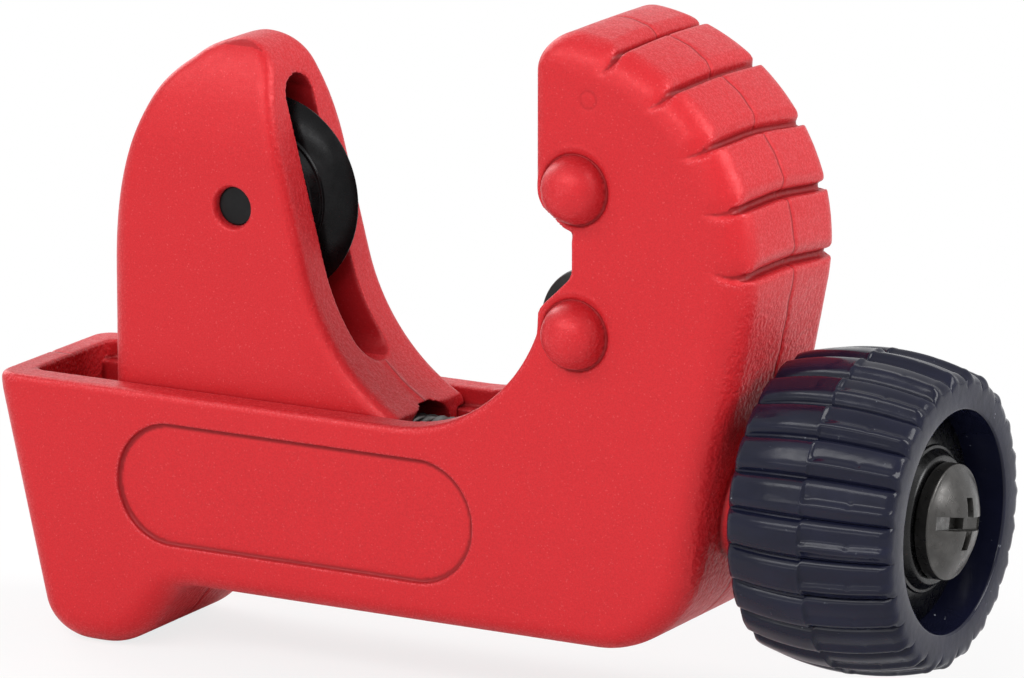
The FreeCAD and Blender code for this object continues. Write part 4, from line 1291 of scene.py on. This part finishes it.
@dataclass(frozen=True)
class WheelAxle:
    """The screw that the cutting wheel turns on."""

    centre: Place = WHEEL_MIDDLE
    near_end: float = -5.3
    head_from: float = 4.5
    head_to: float = 6.0
    radius: float = 1.95
    nose: float = 1.2
    nose_radius: float = 1.70
    head_radius: float = 3.2
    slot_width: float = 0.9
    slot_depth: float = 0.8

    def build(self) -> bpy.types.Object:
        """Makes the axle screw.

        Returns:
            The finished piece.
        """
        corners = [
            (self.near_end, 0.0, 0.0),
            (self.near_end, self.nose_radius, 0.14),
            (self.near_end + self.nose, self.nose_radius, 0.1),
            (self.near_end + self.nose + 0.2, self.radius, 0.0),
            (self.head_from, self.radius, 0.05),
            (self.head_from, self.head_radius, 0.12),
            (self.head_to, self.head_radius, 0.35),
            (self.head_to, 0.0, 0.0),
        ]
        piece = turned_piece("wheel_axle_screw", corners, self.centre, Axis.ACROSS)
        x, y, z = self.centre
        far, wide = self.head_radius + OVERRUN, self.slot_width / 2
        floor, above = y + self.head_to - self.slot_depth, y + self.head_to + OVERRUN
        slot = box_cutter((x - far, floor, z - wide), (x + far, above, z + wide))
        cut_away(piece, [slot], EDGE)
        finish = DarkSteel(
            "axle_black",
            (0.006, 0.006, 0.0065),
            self.centre,
            Axis.ACROSS,
            metallic=0.3,
            mark_depth=0.001,
            specular=0.22,
        )
        return hand_over(piece, Body.CARRIAGE, "wheel_axle", finish.material())


@dataclass(frozen=True)
class CuttingWheel:
    """A cutting wheel: a stepped hub with a blade that tapers to its edge."""

    name: str
    node: str
    body: Body
    centre: Place
    axis: Axis
    bore: float = 2.0
    hub: float = 2.0
    hub_radius: float = 5.4
    hub_ring: tuple[float, float, float, float] = (3.3, 3.45, 3.8, 3.95)
    ring_depth: float = 0.12
    web: float = 0.95
    web_radius: float = 6.2
    specular: float = 0.16
    rim: float = 0.06
    rim_radius: float = 9.0

    def build(self) -> bpy.types.Object:
        """Makes the wheel.

        Returns:
            The finished piece.
        """
        ring = self.hub_ring
        side = [
            (self.hub, self.bore, 0.15),
            (self.hub, ring[0], 0.0),
            (self.hub - self.ring_depth, ring[1], 0.0),
            (self.hub - self.ring_depth, ring[2], 0.0),
            (self.hub, ring[3], 0.0),
            (self.hub, self.hub_radius, 0.3),
            (self.web + 0.22, self.web_radius - 0.28, 0.05),
            (self.web + 0.20, self.web_radius - 0.02, 0.06),
            (self.web, self.web_radius + 0.06, 0.06),
            (self.rim, self.rim_radius, 0.0),
        ]
        near = [(-along, radius, rounding) for along, radius, rounding in reversed(side)]
        piece = turned_piece(
            self.name, side + near, self.centre, self.axis, closed=True, segments=128
        )
        finish = DarkSteel(
            self.name + "_black",
            (0.0045, 0.0045, 0.005),
            self.centre,
            self.axis,
            roughness=(0.22, 0.34),
            metallic=0.4,
            mark_pitch=0.22,
            mark_depth=0.0003,
            wear_and_painted_light=0.15,
            specular=self.specular,
            grain_depth=0.0008,
        )
        return hand_over(piece, self.body, self.node, finish.material())


@dataclass(frozen=True)
class JawRoller:
    """A relieved roller and its pin."""

    side: str
    body: Body
    height: float
    along: float = 12.65
    half_length: float = 6.15
    radius: float = 5.0
    relief_radius: float = 4.4
    worn: float = 0.1
    relief_half: float = 1.7
    bore: float = 1.65
    pin_radius: float = 1.6
    pin_near: float = -8.3
    pin_far: float = 8.9
    pin_centre: Range = (0.25, 0.45)

    def build(self) -> None:
        """Makes the roller and its pin."""
        step = self.relief_half + self.radius - self.relief_radius
        half = [
            (self.half_length, self.bore, 0.1),
            (self.half_length, self.radius - self.worn, 0.45),
            (step, self.radius - self.worn, 0.2),
            (self.relief_half, self.relief_radius, 0.3),
        ]
        other = [(-along, radius, rounding) for along, radius, rounding in reversed(half)]
        centre = (self.along, 0.0, self.height)
        roller = turned_piece(
            f"{self.side}_jaw_roller", half + other, centre, Axis.ACROSS, closed=True
        )
        browned = (0.022, 0.020, 0.020)
        dark = DarkSteel(f"{self.side}_roller_steel", browned, centre, Axis.ACROSS, wear_and_painted_light=0.5)
        hand_over(roller, self.body, f"{self.side}_roller", dark.material())
        deep, wide = self.pin_centre
        pin_corners = [
            (self.pin_near, 0.0, 0.0),
            (self.pin_near, self.pin_radius, 0.1),
            (self.pin_far, self.pin_radius, 0.22),
            (self.pin_far, wide, 0.0),
            (self.pin_far - deep, 0.0, 0.0),
        ]
        pin = turned_piece(f"{self.side}_pin", pin_corners, centre, Axis.ACROSS, segments=64)
        bare = DarkSteel(f"{self.side}_pin_steel", (0.20, 0.20, 0.20), centre, Axis.ACROSS)
        hand_over(pin, Body.FRAME, f"{self.side}_roller_pin", bare.material())


@dataclass(frozen=True)
class Spindle:
    """The threaded spindle. Its thread is swept along a spiral."""

    start: float = -34.5
    thread_from: float = 0.4
    thread_to: float = 49.6
    clip_from: float = 51.4
    clip_to: float = 52.2
    end: float = 71.8
    height: float = SPINDLE_HEIGHT
    radius: float = 3.0
    core_radius: float = 2.42
    groove_radius: float = 2.3
    pitch: float = 1.0
    thread_sink: float = 0.48
    thread_size: float = 0.47
    turn_steps: int = 28
    flats_from: float = 63.8
    flats: float = 5.0

    def build(self) -> bpy.types.Object:
        """Makes the spindle.

        Returns:
            The finished piece.
        """
        corners = [
            (0.0, 0.0, 0.0),
            (0.0, self.core_radius, 0.5),
            (self.thread_to, self.core_radius, 0.0),
            (self.thread_to + 0.6, self.radius, 0.1),
            (self.clip_from, self.radius, 0.08),
            (self.clip_from, self.groove_radius, 0.05),
            (self.clip_to, self.groove_radius, 0.05),
            (self.clip_to, self.radius, 0.08),
            (self.end, self.radius, 0.3),
            (self.end, 0.0, 0.0),
        ]
        centre = (self.start, 0.0, self.height)
        piece = turned_piece("spindle_rod", corners, centre, Axis.ALONG, segments=64)
        far = self.radius + OVERRUN
        tops = [(self.flats / 2, far), (-far, -self.flats / 2)]
        cutters = [
            box_cutter(
                (self.start + self.flats_from, -far, self.height + low),
                (self.start + self.end + OVERRUN, far, self.height + high),
            )
            for low, high in tops
        ]
        cut_away(piece, cutters, EDGE)
        steel = DarkSteel("thread_steel", (0.10, 0.097, 0.095), centre, Axis.ALONG, wear_and_painted_light=0.6)
        finish = steel.material()
        self.add_thread(piece, finish)
        piece.data.shade_smooth()
        return hand_over(piece, Body.DRIVE, "spindle", finish)

    def add_thread(self, piece: bpy.types.Object, finish: bpy.types.Material) -> None:
        """Sweeps the thread's ridge along a spiral and joins it to the rod.

        Args:
            piece: The rod.
            finish: The spindle's material.
        """
        program = NodeProgram("screw_thread")
        turns = program.input("Turns")
        length = program.input("Length")
        middle = program.input("Radius")
        ridge = program.input("Ridge")
        place = program.input("Place", "NodeSocketVector")
        material = program.input("Finish", "NodeSocketMaterial")
        windings = {
            "Resolution": self.turn_steps,
            "Rotations": turns,
            "Start Radius": middle,
            "End Radius": middle,
            "Height": length,
        }
        spiral = program.made("GeometryNodeCurveSpiral", windings)
        upright = program.add("GeometryNodeSetCurveNormal", {"Curve": spiral})
        set_normal_mode(upright)
        ring = program.made(
            "GeometryNodeCurvePrimitiveCircle", {"Resolution": 4, "Radius": ridge}
        )
        sweep = {"Curve": upright.outputs[0], "Profile Curve": ring, "Fill Caps": True}
        lying = {
            "Geometry": program.made("GeometryNodeCurveToMesh", sweep),
            "Translation": place,
            "Rotation": (0.0, math.pi / 2, 0.0),
        }
        laid = program.made("GeometryNodeTransform", lying)
        joined = program.add("GeometryNodeJoinGeometry")
        for part in (program.source.outputs["Geometry"], laid):
            program.tree.links.new(part, joined.inputs[0])
        span = self.thread_to - self.thread_from
        program.run(
            piece,
            program.finish(joined.outputs[0], material),
            Turns=span / self.pitch,
            Length=span * MM,
            Radius=(self.radius - self.pitch * self.thread_sink) * MM,
            Ridge=self.pitch * self.thread_size * MM,
            Place=((self.start + self.thread_from) * MM, 0.0, self.height * MM),
            Finish=finish,
        )


def set_normal_mode(node: bpy.types.Node) -> None:
    """Keeps a curve's normals level, by the node's setting or by its input.

    Args:
        node: The node that sets the normals.
    """
    if hasattr(node, "mode"):
        node.mode = "Z_UP"
    else:
        node.inputs["Mode"].default_value = "Z Up"


@dataclass(frozen=True)
class ThrustWasher:
    """The washer between the frame and the knob."""

    start: float = 28.2
    height: float = SPINDLE_HEIGHT
    thickness: float = 1.0
    inner: float = 3.05
    outer: float = 6.0

    def build(self) -> bpy.types.Object:
        """Makes the washer.

        Returns:
            The finished piece.
        """
        corners = [
            (0.0, self.inner, 0.1),
            (0.0, self.outer, 0.25),
            (self.thickness, self.outer, 0.25),
            (self.thickness, self.inner, 0.1),
        ]
        centre = (self.start, 0.0, self.height)
        piece = turned_piece("plain_washer", corners, centre, Axis.ALONG, closed=True)
        finish = DarkSteel("washer_zinc", (0.42, 0.42, 0.41), centre, Axis.ALONG, wear_and_painted_light=0.3)
        return hand_over(piece, Body.FRAME, "thrust_washer", finish.material())


@dataclass(frozen=True)
class KnobScrew:
    """The domed screw in the knob, slotted and crossed."""

    seat: float = 42.3
    height: float = SPINDLE_HEIGHT
    shank_radius: float = 1.95
    shank_length: float = 11.0
    head_radius: float = 4.9
    skirt: float = 1.3
    dome_radius: float = 4.6
    dome: float = 1.6
    slot: Range = (8.2, 1.15)
    cross: Range = (4.4, 1.1)
    slot_depth: float = 1.3
    pit: Range = (2.7, 1.1)
    pit_depth: float = 0.8
    slot_turn: float = -12.0
    slot_edge: float = 0.10

    def build(self) -> bpy.types.Object:
        """Makes the screw.

        Returns:
            The finished piece.
        """
        rise = self.dome - 0.1
        ball = (self.dome_radius**2 + rise**2) / (2 * rise)
        top = self.skirt + self.dome
        dome = [
            (top - ball + math.sqrt(ball**2 - radius**2), radius, 0.0)
            for radius in np.linspace(self.dome_radius, 0.0, 14)
        ]
        corners = [
            (-self.shank_length, 0.0, 0.0),
            (-self.shank_length, self.shank_radius, 0.3),
            (0.1, self.shank_radius, 0.05),
            (0.1, self.head_radius, 0.15),
            (self.skirt, self.head_radius, 0.2),
            *dome,
        ]
        centre = (self.seat, 0.0, self.height)
        piece = turned_piece("knob_screw_domed", corners, centre, Axis.ALONG, segments=128)
        floor, above = self.seat + top - self.slot_depth, self.seat + top + OVERRUN
        middle = Vector((0.0, 0.0, self.height * MM))
        turn = Matrix.Rotation(math.radians(self.slot_turn), 4, "X")
        cuts = ((*self.slot, 0.0), (*self.cross[::-1], 0.0), (*self.pit, self.pit_depth))
        cutters = []
        for wide, tall, deeper in cuts:
            low = (floor - deeper, -wide / 2, self.height - tall / 2)
            cutter = box_cutter(low, (above, wide / 2, self.height + tall / 2))
            cutter.data.transform(Matrix.Translation(middle) @ turn @ Matrix.Translation(-middle))
            cutters.append(cutter)
        cut_away(piece, cutters, self.slot_edge)
        finish = DarkSteel(
            "screw_black",
            (0.050, 0.048, 0.046),
            centre,
            Axis.ALONG,
            roughness=(0.26, 0.38),
            metallic=0.75,
            mark_depth=0.001,
            wear_and_painted_light=0.35,
        )
        return hand_over(piece, Body.DRIVE, "knob_screw", finish.material())


@dataclass(frozen=True)
class RibbedKnob:
    """The barrel-shaped knob. One rib is modelled, and the rest are its copies about the axis."""

    start: float = 28.7
    height: float = SPINDLE_HEIGHT
    length: float = 15.1
    radius: float = 13.7
    widest: float = 7.4
    barrel: float = 24.0
    rib_end: float = 13.9
    rib_count: int = 24
    rib_depth: float = 0.80
    ring_wave: float = 0.50
    first_rib: float = -2.8
    ridge_share: float = 0.42
    ridge_from: float = -0.03
    ridge_width: float = 0.42
    ridge_lean: float = 0.10
    half_change: float = 0.12
    rib_powers: Range = (4.0, 6.0)
    dimples: tuple[Range, ...] = ((7.75, 0.07), (11.6, 0.08))
    dimple_depth: float = 0.12
    dimple_radius: float = 0.26
    ring_radius: float = 11.6
    recess_radius: float = 9.4
    recess_floor: float = 9.6
    pocket_radius: float = 6.6
    pocket_depth: float = 0.6
    bore: float = 3.05
    seam_height: float = 0.05
    seam_width: float = 0.22
    rear_shift: float = 0.35
    columns: int = 27
    weld: float = 0.002

    def build(self, finish: bpy.types.Material) -> bpy.types.Object:
        """Makes the knob.

        Args:
            finish: Its finish.

        Returns:
            The finished piece.
        """
        piece = new_piece("ribbed_knob", self.one_rib())
        program = NodeProgram("ribs_about_axis")
        count = program.input("Count", "NodeSocketInt")
        weld = program.input("Weld")
        place = program.input("Place", "NodeSocketVector")
        material = program.input("Finish", "NodeSocketMaterial")
        step = program.math("DIVIDE", 2 * math.pi, count)
        turn = program.math("MULTIPLY", program.made("GeometryNodeInputIndex"), step)
        euler = program.made("ShaderNodeCombineXYZ", {"X": turn})
        ribs = {
            "Points": program.made("GeometryNodePoints", {"Count": count}),
            "Instance": program.source.outputs["Geometry"],
            "Rotation": program.made("FunctionNodeEulerToRotation", {0: euler}),
        }
        copies = program.made("GeometryNodeInstanceOnPoints", ribs)
        real = program.made("GeometryNodeRealizeInstances", {0: copies})
        ring = {"Geometry": real, "Distance": weld}
        whole = program.made("GeometryNodeMergeByDistance", ring)
        laid = program.made("GeometryNodeTransform", {"Geometry": whole, "Translation": place})
        program.run(
            piece,
            program.finish(laid, material),
            Count=self.rib_count,
            Weld=self.weld * MM,
            Place=(self.start * MM, 0.0, self.height * MM),
            Finish=finish,
        )
        piece.data.shade_smooth()
        return hand_over(piece, Body.DRIVE, "knob", finish)

    def rim(self, along: float) -> float:
        """The barrel's radius at a length along the knob."""
        return self.radius - self.barrel + math.sqrt(self.barrel**2 - (along - self.widest) ** 2)

    def outline(self) -> np.ndarray:
        """The knob's closed outline.

        Returns:
            Its points, as lengths along the axis and radii.
        """
        barrel = [(x, self.rim(x), 0.0) for x in self.barrel_lengths()]
        corners = [
            (self.pocket_depth, self.bore, 0.0),
            (self.pocket_depth, self.pocket_radius, 0.15),
            (0.0, self.pocket_radius, 0.2),
            (0.0, self.rim(0.0) - 1.2, 0.0),
            (0.12, self.rim(0.0) - 0.35, 0.0),
            *barrel,
            *self.brow(),
            (self.length, self.ring_radius - 0.75, 0.0),
            (self.length, self.recess_radius + 0.22, 0.0),
            (self.length - 0.05, self.recess_radius + 0.06, 0.0),
            (self.length - 0.22, self.recess_radius, 0.0),
            (self.recess_floor, self.recess_radius, 0.6),
            (self.recess_floor, self.bore, 0.0),
        ]
        return np.array(rounded_outline(corners, closed=True))

    def brow(self) -> list[Corner]:
        """The rounded brow between the barrel and the ring.

        Returns:
            Its corners, from the barrel inwards.
        """
        start, inner = self.rim(self.rib_end), self.ring_radius - 0.1
        along, down = self.length - self.rib_end, start - inner
        turns = np.linspace(0.12, 1.0, 10) * math.pi / 2
        return [
            (self.rib_end + along * math.sin(a), inner + down * math.cos(a), 0.0) for a in turns
        ]

    def barrel_lengths(self) -> list[float]:
        """Where the barrel's outline has points: close together at its seam and its dimples.

        Returns:
            The lengths along the axis, in order.
        """
        even = np.linspace(0.4, self.rib_end, 30)
        near = np.array((-0.3, -0.2, -0.1, 0.0, 0.1, 0.2, 0.3))
        close = [middle + near for middle in (self.widest, self.dimples[1][0])]
        return sorted({round(float(x), 3) for x in np.concatenate((even, *close))})

    def rib_height(self, t: np.ndarray, front: np.ndarray) -> np.ndarray:
        """The height of a rib across its width.

        Args:
            t: Places across it, from -0.5 to 0.5.
            front: How far each belongs to the front half of the knob.

        Returns:
            The height, from 0 in the valley to 1 on the crest.
        """
        broad, flat = (1.0 - np.abs(2 * t) ** power for power in self.rib_powers)
        flat = flat * (1.0 - self.ridge_share) - self.ridge_lean * t
        across = np.clip((t - self.ridge_from) / self.ridge_width, 0.0, 1.0)
        ridge = self.ridge_share * np.sin(math.pi * across) ** 2
        return broad + front * (flat + ridge - broad)

    def one_rib(self) -> bpy.types.Mesh:
        """The slice of the knob that carries one rib, from valley to valley.

        Returns:
            The slice's mesh, about the axis.
        """
        outline = self.outline()
        along, radius = outline[:, 0], outline[:, 1]
        outer = radius > self.ring_radius - 0.15
        floor = np.array([self.rim(x) for x in along]) - self.rib_depth
        least = self.ring_wave * smoothstep(self.rib_end, self.length, along)
        depth = np.where(outer, np.clip(radius - floor, least, self.rib_depth), 0.0)
        depth *= smoothstep(-0.3, 0.3, along)
        change = self.half_change
        front = smoothstep(self.widest - change, self.widest + change, along)[:, None]
        t = np.linspace(-0.5, 0.5, self.columns)
        seam = bell(along - self.widest, self.seam_width) * self.seam_height * outer
        valley = depth[:, None] * (1.0 - self.rib_height(t[None, :], front))
        reach = (radius + seam)[:, None] - valley
        pitch = 2 * math.pi / self.rib_count
        for middle, across in self.dimples:
            sideways = (t[None, :] - across) * pitch * self.radius
            away = np.hypot(along[:, None] - middle, sideways)
            reach -= self.dimple_depth * bell(away, self.dimple_radius) * outer[:, None]
        shift = np.radians(self.first_rib + self.rear_shift * (1.0 - front) * outer[:, None])
        angle = t[None, :] * pitch + shift
        lengths = np.repeat(along[:, None], self.columns, axis=1)
        points = np.stack((lengths, reach * np.cos(angle), reach * np.sin(angle)), axis=2)
        rows = len(outline)
        faces = []
        for row in range(rows):
            following = (row + 1) % rows
            for column in range(self.columns - 1):
                here, there = row * self.columns + column, following * self.columns + column
                faces.append([here, there, there + 1, here + 1])
        mesh = bpy.data.meshes.new("rib")
        mesh.from_pydata((points.reshape(-1, 3) * MM).tolist(), [], faces)
        return mesh


def dress_clip() -> None:
    """Gives the spring clip inside the channel its finish."""
    centre = (17.0, 0.0, SPINDLE_HEIGHT)
    material = DarkSteel("clip_steel", (0.30, 0.30, 0.31), centre, Axis.ALONG).material()
    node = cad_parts["spindle_clip"]
    for slot in node.material_slots:
        slot.material = material
    if not node.material_slots:
        node.data.materials.append(material)
    LOG.info("spindle_clip: keeps its CAD shape")


# Studio


@dataclass(frozen=True)
class Lamp:
    """A soft rectangular lamp, placed by its direction from the object."""

    name: str
    azimuth: float
    elevation: float
    distance: float
    width: float
    height: float
    power: float
    colour: Colour = (1.0, 1.0, 1.0)

    def place(self, target: Vector) -> None:
        """Hangs the lamp and turns it to a target.

        Args:
            target: What it lights, in metres.
        """
        data = bpy.data.lights.new(self.name, "AREA")
        data.shape = "RECTANGLE"
        data.size, data.size_y = self.width, self.height
        data.energy = self.power
        data.color = self.colour
        lamp = bpy.data.objects.new(self.name, data)
        bpy.context.scene.collection.objects.link(lamp)
        lamp.location = target + direction(self.azimuth, self.elevation) * self.distance
        lamp.rotation_euler = (target - lamp.location).to_track_quat("-Z", "Y").to_euler()


def direction(azimuth: float, elevation: float) -> Vector:
    """The unit direction of an azimuth, from -Y towards +X, and an elevation, in degrees."""
    a, e = math.radians(azimuth), math.radians(elevation)
    return Vector((math.sin(a) * math.cos(e), -math.cos(a) * math.cos(e), math.sin(e)))


@dataclass(frozen=True)
class Studio:
    """A pale floor, a white background, soft lamps and the camera."""

    azimuth: float = 29.4
    elevation: float = 13.6
    distance: float = 689.7
    across: float = 21.03
    down: float = 12.47
    lens: float = 281.25
    sensor: float = 36.0
    clip: Range = (0.01, 20.0)
    floor_size: float = 6.0
    floor_colours: tuple[Colour, Colour] = ((0.86, 0.86, 0.86), (0.8, 0.8, 0.8))
    white_from: Range = (0.02, 0.11)
    white_share: Range = (0.78, 1.0)
    ambient: float = 0.32
    paper: Range = (4.0, 0.02)
    lamps: tuple[Lamp, ...] = (
        Lamp("key", -8.0, 44.0, 0.90, 1.30, 0.90, 1.6),
        Lamp("strip", -10.0, 42.0, 0.90, 1.20, 0.24, 4.7),
        Lamp("low_strip", -14.0, 9.0, 0.90, 0.90, 0.14, 0.9),
        Lamp("side", 106.0, 34.0, 0.80, 0.34, 0.60, 4.8),
        Lamp("edge", -118.0, 28.0, 0.90, 0.50, 0.60, 3.0),
    )

    def build(self) -> None:
        """Makes the floor, the world, the lamps and the camera."""
        self.make_floor()
        self.make_world()
        for lamp in self.lamps:
            lamp.place(Vector(LIT_PLACE))
        self.make_camera()
        bpy.context.scene.view_settings.view_transform = "Standard"

    def make_floor(self) -> None:
        """A pale floor that turns to plain white away from the object."""
        half = self.floor_size / 2
        corners = ((-half, -half), (half, -half), (half, half), (-half, half))
        points = np.array([[x, y, 0.0] for x, y in corners])
        floor = new_piece("studio_floor", mesh_from(points, [[0, 1, 2, 3]]))
        s = Surface("pale_floor")
        away = s.vector("LENGTH", s.place).outputs["Value"]
        seen = s.add("ShaderNodeLightPath").outputs["Is Camera Ray"]
        share = s.times(s.ramp(away, self.white_from, self.white_share), seen)
        size, amount = self.paper
        paper = s.math("MULTIPLY_ADD", s.noise(size, 2.0), amount, 0.0)
        matt = s.made("ShaderNodeBsdfDiffuse", {"Color": s.mix(paper, *self.floor_colours)})
        white = s.made("ShaderNodeEmission", {"Color": WHITE, "Strength": 1.0})
        blend = s.add("ShaderNodeMixShader", {0: share, 1: matt, 2: white})
        s.add("ShaderNodeOutputMaterial", {"Surface": blend.outputs[0]})
        floor.data.materials.append(s.material)

    def make_world(self) -> None:
        """Soft light from all round, and white wherever the background is seen."""
        world = bpy.data.worlds.new("studio")
        bpy.context.scene.world = world
        world.use_nodes = True
        world.node_tree.nodes.clear()
        nodes = Nodes(world.node_tree)
        path = nodes.add("ShaderNodeLightPath")
        seen = path.outputs["Is Camera Ray"]
        for ray in ("Is Glossy Ray", "Is Transmission Ray"):
            seen = nodes.math("MAXIMUM", seen, path.outputs[ray])
        levels = {"Value": seen, "To Min": self.ambient, "To Max": 1.0}
        strength = nodes.made("ShaderNodeMapRange", levels)
        light = nodes.made("ShaderNodeBackground", {"Color": WHITE, "Strength": strength})
        nodes.add("ShaderNodeOutputWorld", {"Surface": light})

    def make_camera(self) -> None:
        """The camera at the photograph's angle, with a long lens."""
        back = direction(self.azimuth, self.elevation)
        turned = math.radians(self.azimuth)
        right = Vector((math.cos(turned), math.sin(turned), 0.0))
        up = back.cross(right)
        target = Vector(WHEEL_MIDDLE) + right * self.across - up * self.down
        data = bpy.data.cameras.new("camera")
        data.lens = self.lens
        data.sensor_width = self.sensor
        data.sensor_fit = "HORIZONTAL"
        data.clip_start, data.clip_end = self.clip
        camera = bpy.data.objects.new("camera", data)
        bpy.context.scene.collection.objects.link(camera)
        turn = Matrix((right, up, back)).transposed().to_4x4()
        place = (target + back * self.distance) * MM
        camera.matrix_world = Matrix.Translation(place) @ turn
        bpy.context.scene.camera = camera


def main() -> None:
    """Builds the pieces in order."""
    logging.basicConfig(level=logging.INFO, format="%(message)s", stream=sys.stdout)
    coat = PowderCoat().material()
    spare = (40.3, 0.0, SPINDLE_HEIGHT)
    builders: list[Callable[[], object]] = [
        lambda: CastFrame().build(coat),
        lambda: CarriageCasting().build(coat),
        WheelAxle().build,
        CuttingWheel("cutting_wheel", "cutter_wheel", Body.WHEEL, WHEEL_MIDDLE, Axis.ACROSS).build,
        CuttingWheel(
            "spare_cutting_wheel", "spare_wheel", Body.DRIVE, spare, Axis.ALONG, specular=0.5
        ).build,
        JawRoller("upper", Body.UPPER_ROLLER, 46.2).build,
        JawRoller("lower", Body.LOWER_ROLLER, 33.8).build,
        Spindle().build,
        ThrustWasher().build,
        KnobScrew().build,
        lambda: RibbedKnob().build(GlossPlastic().material()),
        dress_clip,
        Studio().build,
    ]
    for build in builders:
        build()


if __name__ == "__main__":
    main()
